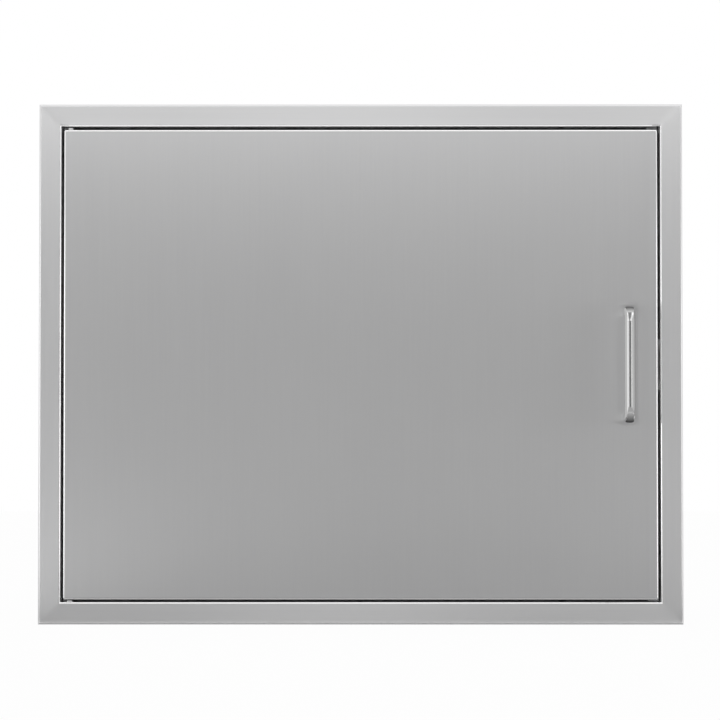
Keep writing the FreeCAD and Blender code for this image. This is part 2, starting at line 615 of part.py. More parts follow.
RETURN_X = f"({DOOR_X} - Sizes.skin_return)"
RETURN_TOP = f"({DOOR_TOP} - Sizes.skin_return)"
RETURN_BOTTOM = f"({DOOR_BOTTOM} + Sizes.skin_return)"
HANDLE_X = f"({DOOR_X} - Sizes.handle_inset)"
HANDLE_MIDDLE = f"({DOOR_MIDDLE} - Sizes.handle_drop)"
handle_spots = [(HANDLE_X, f"{HANDLE_MIDDLE} + {end} * Sizes.handle_span / 2") for end in (-1, 1)]
STRIKE_X = f"({DOOR_X} - Sizes.strike_edge - Sizes.strike_width / 2)"
strike_spots = [(STRIKE_X, f"{DOOR_MIDDLE} + {end} * Sizes.strike_screw_spacing / 2") for end in (-1, 1)]

LIP_MIDDLE = "Sizes.skin_return / 2"
across = int(value("Sizes.rivets_across"))
down = int(value("Sizes.rivets_down"))
rivet_spots = []
for i in range(across):
    place = f"({2 * i / (across - 1) - 1}) * ({DOOR_X} - Sizes.rivet_end)"
    rivet_spots.append((place, f"{DOOR_TOP} - {LIP_MIDDLE}"))
    rivet_spots.append((place, f"{DOOR_BOTTOM} + {LIP_MIDDLE}"))
for i in range(down):
    share = i / (down - 1)
    place = f"{DOOR_BOTTOM} + Sizes.rivet_end + {share} * ({DOOR_TOP} - {DOOR_BOTTOM} - 2 * Sizes.rivet_end)"
    rivet_spots.append((f"{LIP_MIDDLE} - {DOOR_X}", place))
    rivet_spots.append((f"{DOOR_X} - {LIP_MIDDLE}", place))
RIVET_HOLE = "Sizes.rivet_radius + Sizes.screw_fit"
STRIKE_HOLE = "Sizes.strike_screw_radius + Sizes.screw_fit"

skin = new_body("door_skin")
pad(skin, rectangle(skin, "Y", FACE, f"-{DOOR_X}", DOOR_X, DOOR_BOTTOM, DOOR_TOP),
    f"{SKIN_BACK} - {FACE}", "Y")
round_over(skin, "Sizes.door_edge_radius", [f"Edge{i + 1}" for i in range(len(skin.Shape.Edges))])
cut(skin, rectangle(skin, "Y", SKIN_BACK, f"-{RETURN_X}", RETURN_X, RETURN_BOTTOM, RETURN_TOP),
    "2 * Sizes.skin_metal", "Y", -1)
cut(skin, rectangle(skin, "Y", LIP_INSIDE,
                        f"Sizes.skin_metal - {DOOR_X}", f"{DOOR_X} - Sizes.skin_metal",
                        f"{DOOR_BOTTOM} + Sizes.skin_metal", f"{DOOR_TOP} - Sizes.skin_metal"),
    f"{LIP_INSIDE} - {SKIN_INSIDE}", "Y", -1)
lip_holes = circles(skin, "Y", SKIN_BACK, rivet_spots, RIVET_HOLE)
add_circles(lip_holes, strike_spots, STRIKE_HOLE)
drill(skin, lip_holes, "Sizes.skin_metal")
HANDLE_HOLE = "Sizes.handle_screw_radius + Sizes.screw_fit"
drill(skin, circles(skin, "Y", FACE, handle_spots, HANDLE_HOLE), "Sizes.skin_metal")
for level, radius in ((DOOR_BOTTOM, "Sizes.bush_radius + Sizes.bush_fit"),
                      (DOOR_TOP, "Sizes.pin_radius + 2 * Sizes.pin_fit")):
    drill(skin, circles(skin, "Z", level, [(PIVOT_X, PIVOT_Y)], radius), "Sizes.skin_metal")

# The release lever's levels, which the liner's slot follows
LEVER_TOP = f"({DOOR_TOP} - Sizes.lever_drop)"
LEVER_BOTTOM = f"({LEVER_TOP} - Sizes.lever_metal)"
TAB_RIGHT = f"({PIVOT_X} + Sizes.lever_reach)"
TAB_LEFT = f"({TAB_RIGHT} - Sizes.lever_tab)"
TAB_BACK = f"({DOOR_BACK} + Sizes.lever_out)"
SLOT_LOW = f"({LEVER_BOTTOM} - Sizes.pin_travel - Sizes.slot_clearance)"
SLOT_HIGH = f"({LEVER_TOP} + Sizes.slot_clearance)"

liner = new_body("door_liner")
LINER_X = f"({DOOR_X} - Sizes.liner_inset)"
LINER_LOW = f"({DOOR_BOTTOM} + Sizes.liner_inset)"
LINER_HIGH = f"({DOOR_TOP} - Sizes.liner_inset)"
liner_sketch = rectangle(liner, "Y", SKIN_BACK, f"(-{LINER_X})", LINER_X, LINER_LOW, LINER_HIGH)
add_circles(liner_sketch, rivet_spots, RIVET_HOLE)
add_circles(liner_sketch, strike_spots, STRIKE_HOLE)
add_circles(liner_sketch, handle_spots, "Sizes.plug_radius + Sizes.plug_fit")
add_rectangle(liner_sketch, f"{TAB_LEFT} - Sizes.slot_clearance", f"{TAB_RIGHT} + Sizes.slot_clearance",
              SLOT_LOW, SLOT_HIGH)
pad(liner, liner_sketch, "Sizes.liner_metal", "Y")
corners = []
for side in (f"(-{LINER_X})", LINER_X):
    for level in (LINER_LOW, LINER_HIGH):
        corners += edges_at(liner, x=side, z=level)
round_over(liner, "Sizes.liner_corner", corners)

for label, side in (("door_stiffener_left", -1), ("door_stiffener_right", 1)):
    stiffener = new_body(label)
    metal = "Sizes.stiffener_metal"
    halves = []
    for hand in (-1, 1):
        middle = f"{side} * Sizes.stiffener_place"
        web_outside = f"{middle} + {hand} * Sizes.stiffener_crown / 2"
        web_inside = f"{middle} + {hand} * (Sizes.stiffener_crown / 2 - {metal})"
        foot_end = f"{middle} + {hand} * (Sizes.stiffener_crown / 2 + Sizes.stiffener_foot)"
        halves.append([
            (foot_end, SKIN_INSIDE),
            (web_inside, SKIN_INSIDE),
            (web_inside, f"{SKIN_BACK} - {metal}"),
            (web_outside, SKIN_BACK),
            (web_outside, f"{SKIN_INSIDE} + {metal}"),
            (foot_end, f"{SKIN_INSIDE} + {metal}"),
        ])
    left, right = halves
    inside = [left[0], left[1], left[2], right[2], right[1], right[0]]
    outside = [right[5], right[4], right[3], left[3], left[4], left[5]]
    stiffener_middle = f"(({RETURN_TOP} + {RETURN_BOTTOM}) / 2)"
    pad_both(stiffener, outline(stiffener, "Z", stiffener_middle, inside + outside),
             f"{RETURN_TOP} - {RETURN_BOTTOM} - 2 * Sizes.stiffener_gap")
    for radius, folds in ((f"Sizes.stiffener_bend + {metal}", (1, 3)), ("Sizes.stiffener_bend", (2, 4))):
        names = []
        for half in halves:
            for fold in folds:
                names += edges_at(stiffener, x=half[fold][0], y=half[fold][1])
        round_over(stiffener, radius, names)

# Blind rivets that hold the liner to the skin's lips
rivets = new_body("liner_rivets", many=True)
pad(rivets, circles(rivets, "Y", DOOR_BACK, rivet_spots, "Sizes.rivet_head_radius"),
    "Sizes.rivet_head_height", "Y")
round_over(rivets, "Sizes.rivet_head_height * Sizes.rivet_dome_share",
           edges_at(rivets, y=f"{DOOR_BACK} + Sizes.rivet_head_height", straight=False))
pad(rivets, circles(rivets, "Y", DOOR_BACK, rivet_spots, "Sizes.rivet_radius"),
    f"{DOOR_BACK} - {LIP_INSIDE}", "Y", -1)
pad(rivets, circles(rivets, "Y", LIP_INSIDE, rivet_spots, "Sizes.rivet_tail_radius"),
    "Sizes.rivet_tail_height", "Y", -1)

# Handle: one bent bar with rounded corners, tapped at both ends and screwed on from inside through a
# backing plate
GRIP_Y = f"({FACE} - Sizes.handle_reach + Sizes.handle_depth / 2)"
handle = new_body("handle_bar")
path = new_sketch(handle, "X", HANDLE_X)
BEND_Y = f"({GRIP_Y} + Sizes.handle_bend)"
low, high = (up for _, up in handle_spots)
runs = (
    ((FACE, low), (BEND_Y, low)),
    ((GRIP_Y, f"{low} + Sizes.handle_bend"), (GRIP_Y, f"{high} - Sizes.handle_bend")),
    ((BEND_Y, high), (FACE, high)),
)
for number, ends in enumerate(runs):
    path.addGeometry(Part.LineSegment(*[Vec(value(back), value(up), 0) for back, up in ends]), False)
    for end, (back, up) in enumerate(ends, start=1):
        fix(path, "DistanceX", -1, 1, number, end, size=back)
        fix(path, "DistanceY", -1, 1, number, end, size=up)
# Each bend starts where the next run starts and ends where the run before it ends
bends = (
    (f"{low} + Sizes.handle_bend", math.pi),
    (f"{high} - Sizes.handle_bend", math.pi / 2),
)
for bend, (up, angle) in enumerate(bends):
    circle = Part.Circle(Vec(value(BEND_Y), value(up), 0), Vec(0, 0, 1), value("Sizes.handle_bend"))
    arc = path.addGeometry(Part.ArcOfCircle(circle, angle, angle + math.pi / 2), False)
    path.addConstraint(Sketcher.Constraint("Coincident", arc, 1, bend + 1, 1))
    path.addConstraint(Sketcher.Constraint("Coincident", arc, 2, bend, 2))
    fix(path, "Radius", arc, size="Sizes.handle_bend")
section = new_sketch(handle, "Y", FACE)
sides = (f"({HANDLE_X} - Sizes.handle_width / 2)", f"({HANDLE_X} + Sizes.handle_width / 2)")
inner = f"({low} + Sizes.handle_depth / 2)"
crown = f"({low} - Sizes.handle_depth / 2)"
outer = f"({crown} + Sizes.handle_crown)"
corners = [(sides[0], outer), (sides[0], inner), (sides[1], inner), (sides[1], outer)]
spots = [Vec(value(across), value(up), 0) for across, up in corners]
for i in range(3):
    section.addGeometry(Part.LineSegment(spots[i], spots[i + 1]), False)
swell = Part.Arc(spots[0], Vec(value(HANDLE_X), value(crown), 0), spots[3])
section.addGeometry(swell, False)
ends = [((0, 1), (3, 1)), ((0, 2), (1, 1)), ((1, 2), (2, 1)), ((2, 2), (3, 2))]
for (across, up), (one, other) in zip(corners, ends):
    section.addConstraint(Sketcher.Constraint("Coincident", *one, *other))
    fix(section, "DistanceX", -1, 1, *one, size=across)
    fix(section, "DistanceY", -1, 1, *one, size=up)
fix(section, "Radius", 3,
    size="(Sizes.handle_width^2 / (8 * Sizes.handle_crown) + Sizes.handle_crown / 2)")
bar = handle.newObject("PartDesign::AdditivePipe", "Bar")
bar.Profile = section
bar.Spine = (path, [])
doc.recompute()
across_the_bar = edges_at(handle, y=FACE, straight=False) + edges_at(handle, y=BEND_Y, straight=False)
for end in (f"{low} + Sizes.handle_bend", f"{high} - Sizes.handle_bend"):
    across_the_bar += edges_at(handle, z=end, straight=False)
every_edge = [f"Edge{i + 1}" for i in range(len(handle.Tip.Shape.Edges))]
long_edges = [name for name in every_edge if name not in across_the_bar]
round_over(handle, "Sizes.handle_corner", long_edges)
cut(handle, circles(handle, "Y", FACE, handle_spots, HANDLE_HOLE),
    "Sizes.handle_screw_grip + Sizes.handle_hole_end", "Y", -1)

BACKING_BACK = f"({SKIN_INSIDE} + Sizes.backing_metal)"
HEAD_SEAT = f"({BACKING_BACK} + Sizes.washer_thickness)"
BACKING_LEFT = f"({HANDLE_X} - Sizes.backing_width / 2)"
backing = new_body("handle_backing_plate")
backing_sketch = rectangle(backing, "Y", SKIN_INSIDE,
                           BACKING_LEFT, f"{BACKING_LEFT} + Sizes.backing_width",
                           f"{low} - Sizes.backing_overhang", f"{high} + Sizes.backing_overhang")
add_circles(backing_sketch, handle_spots, HANDLE_HOLE)
pad(backing, backing_sketch, "Sizes.backing_metal", "Y")

washers = new_body("handle_washers", many=True)
washer_sketch = circles(washers, "Y", BACKING_BACK, handle_spots, "Sizes.washer_radius")
add_circles(washer_sketch, handle_spots, HANDLE_HOLE)
pad(washers, washer_sketch, "Sizes.washer_thickness", "Y")

handle_screws = new_body("handle_screws", many=True)
HEAD_END = f"({HEAD_SEAT} + Sizes.button_head_height)"
pad(handle_screws, circles(handle_screws, "Y", HEAD_SEAT, handle_spots, "Sizes.button_head_radius"),
    "Sizes.button_head_height", "Y")
round_over(handle_screws, "Sizes.button_head_height * Sizes.button_dome_share",
           edges_at(handle_screws, y=HEAD_END, straight=False))
pad(handle_screws, circles(handle_screws, "Y", HEAD_SEAT, handle_spots, "Sizes.handle_screw_radius"),
    f"{HEAD_SEAT} - {FACE} + Sizes.handle_screw_grip", "Y", -1)
BUTTON_SOCKET = "Sizes.button_head_radius * Sizes.socket_share"
cut(handle_screws, hexagons(handle_screws, "Y", HEAD_END, handle_spots, BUTTON_SOCKET),
    "Sizes.button_head_height / 2", "Y", -1)

plugs = new_body("liner_hole_plugs", many=True)
pad(plugs, circles(plugs, "Y", DOOR_BACK, handle_spots, "Sizes.plug_head_radius"),
    "Sizes.plug_head_height", "Y")
round_over(plugs, "Sizes.plug_head_height * Sizes.button_dome_share",
           edges_at(plugs, y=f"{DOOR_BACK} + Sizes.plug_head_height", straight=False))
pad(plugs, circles(plugs, "Y", DOOR_BACK, handle_spots, "Sizes.plug_radius"),
    "Sizes.plug_depth", "Y", -1)

# Strike plate for the magnet, screwed through the liner into the skin's right lip
STRIKE_BACK = f"({DOOR_BACK} + Sizes.strike_metal)"
HEAD_DEPTH = "(Sizes.strike_head_radius - Sizes.strike_screw_radius)"
STRIKE_LOW = f"({DOOR_MIDDLE} - Sizes.strike_length / 2)"
STRIKE_HIGH = f"({DOOR_MIDDLE} + Sizes.strike_length / 2)"
strike = new_body("strike_plate")
strike_sketch = rectangle(strike, "Y", DOOR_BACK,
                          f"{STRIKE_X} - Sizes.strike_width / 2", f"{STRIKE_X} + Sizes.strike_width / 2",
                          STRIKE_LOW, STRIKE_HIGH)
pad(strike, strike_sketch, "Sizes.strike_metal", "Y")
corners = []
for side in (-1, 1):
    for end in (STRIKE_LOW, STRIKE_HIGH):
        corners += edges_at(strike, x=f"{STRIKE_X} + {side} * Sizes.strike_width / 2", z=end)
round_over(strike, "Sizes.strike_corner", corners)
drill(strike, circles(strike, "Y", STRIKE_BACK, strike_spots, STRIKE_HOLE), "Sizes.strike_metal")
round_over(strike, HEAD_DEPTH, edges_at(strike, y=STRIKE_BACK, straight=False)[-2:], "PartDesign::Chamfer")

strike_screws = new_body("strike_plate_screws", many=True)
pad(strike_screws, circles(strike_screws, "Y", STRIKE_BACK, strike_spots, "Sizes.strike_head_radius"),
    HEAD_DEPTH, "Y", -1)
round_over(strike_screws, f"{HEAD_DEPTH} - Sizes.cone_rim",
           edges_at(strike_screws, y=f"{STRIKE_BACK} - {HEAD_DEPTH}", straight=False), "PartDesign::Chamfer")
STRIKE_SHANK = f"({STRIKE_BACK} - {HEAD_DEPTH} / 2)"
pad(strike_screws, circles(strike_screws, "Y", STRIKE_SHANK, strike_spots, "Sizes.strike_screw_radius"),
    f"Sizes.strike_screw_length + {HEAD_DEPTH} / 2", "Y", -1)
STRIKE_SOCKET = "Sizes.strike_head_radius * Sizes.socket_share"
cut(strike_screws, hexagons(strike_screws, "Y", STRIKE_BACK, strike_spots, STRIKE_SOCKET),
    HEAD_DEPTH, "Y", -1)

# Lower hinge bracket inside the door, and the closed bush that turns on the lower pin
BRACKET_LEFT = f"(Sizes.skin_metal + Sizes.bracket_clearance - {DOOR_X})"
BRACKET_FRONT = f"({SKIN_INSIDE} + Sizes.bracket_clearance)"
BRACKET_FOLD = "(Sizes.bracket_bend + Sizes.bracket_metal)"
BRACKET_FLOOR = f"({DOOR_BOTTOM} + Sizes.skin_metal)"
BRACKET_ROOF = f"({DOOR_TOP} - Sizes.skin_metal)"
LEAF_FRONT = f"({LIP_INSIDE} - Sizes.bracket_metal)"

lower_bracket = new_body("lower_hinge_bracket")
pad(lower_bracket, outline(lower_bracket, "X", BRACKET_LEFT, [
    (BRACKET_FRONT, BRACKET_FLOOR),
    (LIP_INSIDE, BRACKET_FLOOR),
    (LIP_INSIDE, f"{BRACKET_FLOOR} + Sizes.lower_bracket_height"),
    (LEAF_FRONT, f"{BRACKET_FLOOR} + Sizes.lower_bracket_height"),
    (LEAF_FRONT, f"{BRACKET_FLOOR} + Sizes.bracket_metal"),
    (BRACKET_FRONT, f"{BRACKET_FLOOR} + Sizes.bracket_metal"),
]), "Sizes.lower_bracket_length", "X")
round_over(lower_bracket, BRACKET_FOLD, edges_at(lower_bracket, y=LIP_INSIDE, z=BRACKET_FLOOR))
round_over(lower_bracket, "Sizes.bracket_bend",
           edges_at(lower_bracket, y=LEAF_FRONT, z=f"{BRACKET_FLOOR} + Sizes.bracket_metal"))
bush_hole = circles(lower_bracket, "Z", BRACKET_FLOOR, [(PIVOT_X, PIVOT_Y)],
                    "Sizes.bush_radius + Sizes.bush_fit")
drill(lower_bracket, bush_hole, "Sizes.bracket_metal")

BUSH_FLOOR = "(Sizes.lower_pin_height - Sizes.gap_bottom + Sizes.end_play)"
turned("lower_pivot_bush", [
    (BORE, "-Sizes.bush_flange_height"),
    ("Sizes.bush_flange_radius", "-Sizes.bush_flange_height"),
    ("Sizes.bush_flange_radius", "0"),
    ("Sizes.bush_radius", "0"),
    ("Sizes.bush_radius", f"{BUSH_FLOOR} + Sizes.bush_end"),
    ("0", f"{BUSH_FLOOR} + Sizes.bush_end"),
    ("0", BUSH_FLOOR),
    (BORE, BUSH_FLOOR),
], PIVOT_X, PIVOT_Y, DOOR_BOTTOM)

# Upper hinge bracket: a channel whose two leaves guide the sliding pin
BRACKET_RIGHT = f"(-{RETURN_X} - Sizes.bracket_clearance)"
BRACKET_LOW = f"({BRACKET_ROOF} - Sizes.upper_bracket_height)"
SPRING_SEAT = f"({BRACKET_LOW} + Sizes.bracket_metal)"
upper_bracket = new_body("upper_hinge_bracket")
pad(upper_bracket, outline(upper_bracket, "X", BRACKET_LEFT, [
    (BRACKET_FRONT, BRACKET_ROOF),
    (LIP_INSIDE, BRACKET_ROOF),
    (LIP_INSIDE, BRACKET_LOW),
    (BRACKET_FRONT, BRACKET_LOW),
    (BRACKET_FRONT, SPRING_SEAT),
    (LEAF_FRONT, SPRING_SEAT),
    (LEAF_FRONT, f"{BRACKET_ROOF} - Sizes.bracket_metal"),
    (BRACKET_FRONT, f"{BRACKET_ROOF} - Sizes.bracket_metal"),
]), f"{BRACKET_RIGHT} - {BRACKET_LEFT}", "X")
for level in (BRACKET_ROOF, BRACKET_LOW):
    round_over(upper_bracket, BRACKET_FOLD, edges_at(upper_bracket, y=LIP_INSIDE, z=level))
for level in (SPRING_SEAT, f"{BRACKET_ROOF} - Sizes.bracket_metal"):
    round_over(upper_bracket, "Sizes.bracket_bend", edges_at(upper_bracket, y=LEAF_FRONT, z=level))
for level in (BRACKET_ROOF, BRACKET_LOW):
    drill(upper_bracket, circles(upper_bracket, "Z", level, [(PIVOT_X, PIVOT_Y)], BORE), "Sizes.bracket_metal")

# Upper pin, which slides, with the clip that sits in its groove on top of the lever
PIN_LOW = f"({BRACKET_LOW} - Sizes.pin_tail)"
GROOVE = f"({LEVER_TOP} - {PIN_LOW})"
turned("upper_pivot_pin", [
    ("0", "0"),
    ("Sizes.pin_radius", "0"),
    ("Sizes.pin_radius", GROOVE),
    ("Sizes.pin_radius - Sizes.clip_groove", GROOVE),
    ("Sizes.pin_radius - Sizes.clip_groove", f"{GROOVE} + Sizes.clip_thickness"),
    ("Sizes.pin_radius", f"{GROOVE} + Sizes.clip_thickness"),
    ("Sizes.pin_radius", f"{PLATE_TOP} - {PIN_LOW} - Sizes.pin_point"),
    ("Sizes.pin_radius - Sizes.pin_point", f"{PLATE_TOP} - {PIN_LOW}"),
    ("0", f"{PLATE_TOP} - {PIN_LOW}"),
], PIVOT_X, PIVOT_Y, PIN_LOW)

clip = new_body("pin_clip")
clip_sketch = circles(clip, "Z", LEVER_TOP, [(PIVOT_X, PIVOT_Y)], "Sizes.clip_radius")
add_circles(clip_sketch, [(PIVOT_X, PIVOT_Y)], "Sizes.pin_radius - Sizes.clip_groove + Sizes.pin_fit")
pad(clip, clip_sketch, "Sizes.clip_thickness", "Z")
mouth = rectangle(clip, "Z", LEVER_TOP, PIVOT_X, f"{PIVOT_X} + 2 * Sizes.clip_radius",
                  f"{PIVOT_Y} - Sizes.clip_mouth / 2", f"{PIVOT_Y} + Sizes.clip_mouth / 2")
drill(clip, mouth, "Sizes.clip_thickness")

# Release lever: round the pin under its clip, then back through the slot to a finger lip
lever = new_body("release_lever")
lever_sketch = outline(lever, "Z", LEVER_BOTTOM, [
    (f"{PIVOT_X} - Sizes.lever_width / 2", f"{PIVOT_Y} - Sizes.lever_width / 2"),
    (TAB_RIGHT, f"{PIVOT_Y} - Sizes.lever_width / 2"),
    (TAB_RIGHT, TAB_BACK),
    (TAB_LEFT, TAB_BACK),
    (TAB_LEFT, f"{PIVOT_Y} + Sizes.lever_width / 2"),
    (f"{PIVOT_X} - Sizes.lever_width / 2", f"{PIVOT_Y} + Sizes.lever_width / 2"),
])
add_circles(lever_sketch, [(PIVOT_X, PIVOT_Y)], BORE)
pad(lever, lever_sketch, "Sizes.lever_metal", "Z")
finger_lip = rectangle(lever, "Z", LEVER_TOP, TAB_LEFT, TAB_RIGHT, f"{TAB_BACK} - Sizes.lever_metal", TAB_BACK)
pad(lever, finger_lip, "Sizes.lever_metal + Sizes.lever_finger", "Z", -1)
round_over(lever, "Sizes.lever_metal", edges_at(lever, y=TAB_BACK, z=LEVER_TOP))


# The spring that keeps the upper pin raised: one closed turn at each end, even turns between

def biarc(start, start_way, end, end_way):
    """Two arcs that leave one point and reach the next along the given directions."""
    chord = end - start
    ways = start_way + end_way
    spare = 4 - ways.dot(ways)
    along = chord.dot(ways)
    reach = (math.sqrt(along * along + spare * chord.dot(chord)) - along) / spare
    first_knee = start + start_way * reach
    second_knee = end - end_way * reach
    joint = (first_knee + second_knee) * 0.5
    arcs = []
    for begin, knee, finish in ((start, first_knee, joint), (joint, second_knee, end)):
        middle = (begin + finish) * 0.5
        half = (finish - begin).Length / 2
        rise = (knee - middle).Length
        crown = half * math.tan(math.atan2(rise, half) / 2)
        arcs.append(Part.Arc(begin, middle + (knee - middle) * (crown / rise), finish))
    return arcs


def coil_path(radius, turns, height, end_pitch):
    """The wire's centre line as quarter turns, and the points where they meet."""
    quarters = int(4 * turns)
    open_pitch = (height - 2 * end_pitch) / (turns - 2)

    def level(turn):
        closed = min(turn, 1) + max(turn - (turns - 1), 0)
        return closed * end_pitch + (turn - closed) * open_pitch

    def pitch(turn):
        return end_pitch if turn < 1 or turn > turns - 1 else open_pitch

    points, ways = [], []
    for i in range(quarters + 1):
        turn = i / 4
        angle = 2 * math.pi * turn
        points.append(Vec(radius * math.cos(angle), radius * math.sin(angle), level(turn)))
        rise = pitch(turn) / (2 * math.pi)
        ways.append(Vec(-radius * math.sin(angle), radius * math.cos(angle), rise).normalize())
    arcs = []
    for i in range(quarters):
        arcs += biarc(points[i], ways[i], points[i + 1], ways[i + 1])
    return arcs


spring_radius = value("Sizes.pin_radius + Sizes.spring_room + Sizes.spring_wire / 2")
wire_radius = value("Sizes.spring_wire / 2")
seat_room = wire_radius + value("Sizes.spring_seat")
spring_height = value(f"{LEVER_BOTTOM} - {SPRING_SEAT}") - 2 * seat_room
arcs = coil_path(spring_radius, value("Sizes.spring_turns"), spring_height, value("Sizes.spring_end_pitch"))
wire_path = Part.Wire([arc.toShape() for arc in arcs])
start_way = arcs[0].tangent(arcs[0].FirstParameter)[0]
section = Part.Wire(Part.Circle(arcs[0].value(arcs[0].FirstParameter), start_way, wire_radius).toShape())
spring = doc.addObject("Part::Feature", "pivot_spring")
spring.Label = "pivot_spring"
spring.Shape = wire_path.makePipeShell([section], True, False)
spring.Placement.Base = Vec(value(PIVOT_X), value(PIVOT_Y), value(SPRING_SEAT) + seat_room)
EXPORTED.append(spring)
open_pitch = (spring_height - 2 * value("Sizes.spring_end_pitch")) / (value("Sizes.spring_turns") - 2)
least_gap = min(open_pitch, value("Sizes.spring_end_pitch")) - 2 * wire_radius
length = wire_path.Length
print(f"spring: wire {length:.1f} long, least gap {least_gap:.2f}, "
      f"volume ratio {spring.Shape.Volume / (math.pi * wire_radius ** 2 * length):.4f}")

doc.recompute()

# Every object has to be sound before anything is written
for item in doc.Objects:
    if "Invalid" in item.State or "Error" in item.State:
        raise RuntimeError(f"{item.Label} failed: {item.State}")
for piece in EXPORTED:
    if piece.Shape.isNull() or not piece.Shape.isValid() or not piece.Shape.Solids:
        raise RuntimeError(f"{piece.Label} has no sound solid")

os.makedirs("parts", exist_ok=True)
for piece in EXPORTED:
    piece.Shape.exportStep(os.path.join("parts", f"{piece.Label}.step"))
print(f"{len(EXPORTED)} pieces, pivot at X {value(PIVOT_X):.4f} Y {value(PIVOT_Y):.4f}, "
      f"stop front at Y {value(STOP_FRONT):.4f}")
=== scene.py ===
import math

import bpy
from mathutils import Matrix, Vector


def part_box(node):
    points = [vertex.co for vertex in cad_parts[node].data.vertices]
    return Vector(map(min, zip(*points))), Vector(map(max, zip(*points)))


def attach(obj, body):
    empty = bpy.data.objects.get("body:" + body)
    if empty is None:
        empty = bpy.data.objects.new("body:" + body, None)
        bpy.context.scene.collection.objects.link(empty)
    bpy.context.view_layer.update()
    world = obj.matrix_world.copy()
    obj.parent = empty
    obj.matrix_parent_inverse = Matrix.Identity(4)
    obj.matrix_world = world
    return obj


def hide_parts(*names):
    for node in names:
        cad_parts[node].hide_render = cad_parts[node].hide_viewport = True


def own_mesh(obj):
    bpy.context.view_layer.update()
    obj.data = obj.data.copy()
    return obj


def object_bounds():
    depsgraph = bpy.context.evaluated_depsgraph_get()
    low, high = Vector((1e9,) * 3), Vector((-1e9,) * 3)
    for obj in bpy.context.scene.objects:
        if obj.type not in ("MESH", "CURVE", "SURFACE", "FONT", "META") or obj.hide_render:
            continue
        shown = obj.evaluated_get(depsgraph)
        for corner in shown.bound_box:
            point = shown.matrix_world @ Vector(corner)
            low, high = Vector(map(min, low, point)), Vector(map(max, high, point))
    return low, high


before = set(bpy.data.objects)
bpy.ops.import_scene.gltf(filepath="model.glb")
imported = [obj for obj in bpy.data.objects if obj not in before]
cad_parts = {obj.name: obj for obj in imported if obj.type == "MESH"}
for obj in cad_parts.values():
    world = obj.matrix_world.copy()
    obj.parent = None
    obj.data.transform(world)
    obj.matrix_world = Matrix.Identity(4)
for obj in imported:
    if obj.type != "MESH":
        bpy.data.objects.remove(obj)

cad_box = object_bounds()


# Face frame: four lengths of folded 304 stainless sheet, mitred, welded and brushed along their
# length with a belt. The joints are dressed after welding, so the grain of one length runs softly
# into the grain of the next and no seam shows.

MM = 0.001
FRAME_DARK = "#D8D8D9"
FRAME_LIGHT = "#DFDFDF"
SCRATCH_WIDTH = 0.9 * MM     # the belt's lines are near 0.1 mm, and are drawn coarser so that they show
SCRATCH_LENGTH = 90 * MM
SCRATCH_DEPTH = 0.05 * MM
SCRATCH_RELIEF = 0.12        # strength of the bump of the belt's lines
RELIEF_DEPTH = 0.1 * MM      # of the plain finishes' grain
GRAIN_DETAIL = 3.0           # finer and finer steps in the noise of a grain
GLOSS_SPREAD = 0.03          # roughness of the belt's lines, up and down from the mean
CLOUD_SIZE = 140 * MM        # slow changes of tone from the rolling of the sheet
CLOUD_SHARE = 0.35           # the clouds' share of the tone, against the lines'
DRESSED_WIDTH = 9 * MM       # half the width of the blended grain at a mitre
FOLD_HIGHLIGHT_TONE = "#FCFCFC"        # painted highlight: a near-white tone that makes the folds shine; folding also stretches the sheet, and the edges come out smoother
FOLD_ROUGHNESS = 0.2
FOLD_START, FOLD_FULL = 0.998, 0.9     # how squarely the sheet faces forward where a fold starts, is full,
WALL_START, WALL_END = 0.02, 0.1       # and has ended in a flat wall, which is plain again
FACES_OPENING = 20 * MM      # place times direction, at most, where the frame faces its opening
COLOUR_A, COLOUR_B, COLOUR_RESULT = 6, 7, 2      # the colour sockets of a Mix node
VECTOR_A, VECTOR_B, VECTOR_RESULT = 4, 5, 1      # its vector sockets
VALUE_A, VALUE_B, VALUE_RESULT = 2, 3, 0         # its plain number sockets


def linear(hex_code):
    """The linear colour that an sRGB hex value stands for."""
    channels = [int(hex_code[i:i + 2], 16) / 255 for i in (1, 3, 5)]
    return (*[c / 12.92 if c <= 0.04045 else ((c + 0.055) / 1.055) ** 2.4 for c in channels], 1.0)


def fill(tree, node, inputs):
    """Gives inputs of a node their values, or links them to other nodes' outputs."""
    for key, source in inputs.items():
        if isinstance(source, bpy.types.NodeSocket):
            tree.links.new(source, node.inputs[key])
        else:
            node.inputs[key].default_value = source


def add(tree, kind, inputs=None, **settings):
    """Adds one node, with its settings and its inputs."""
    node = tree.nodes.new(kind)
    for name, setting in settings.items():
        setattr(node, name, setting)
    fill(tree, node, inputs or {})
    return node


def new_finish(name):
    """A material with one shader, and its node tree."""
    material = bpy.data.materials.new(name)
    material.use_nodes = True
    return material, material.node_tree, material.node_tree.nodes["Principled BSDF"]


def dress(material, *nodes):
    """Gives CAD nodes their finish."""
    for name in nodes:
        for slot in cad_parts[name].material_slots:
            slot.material = material


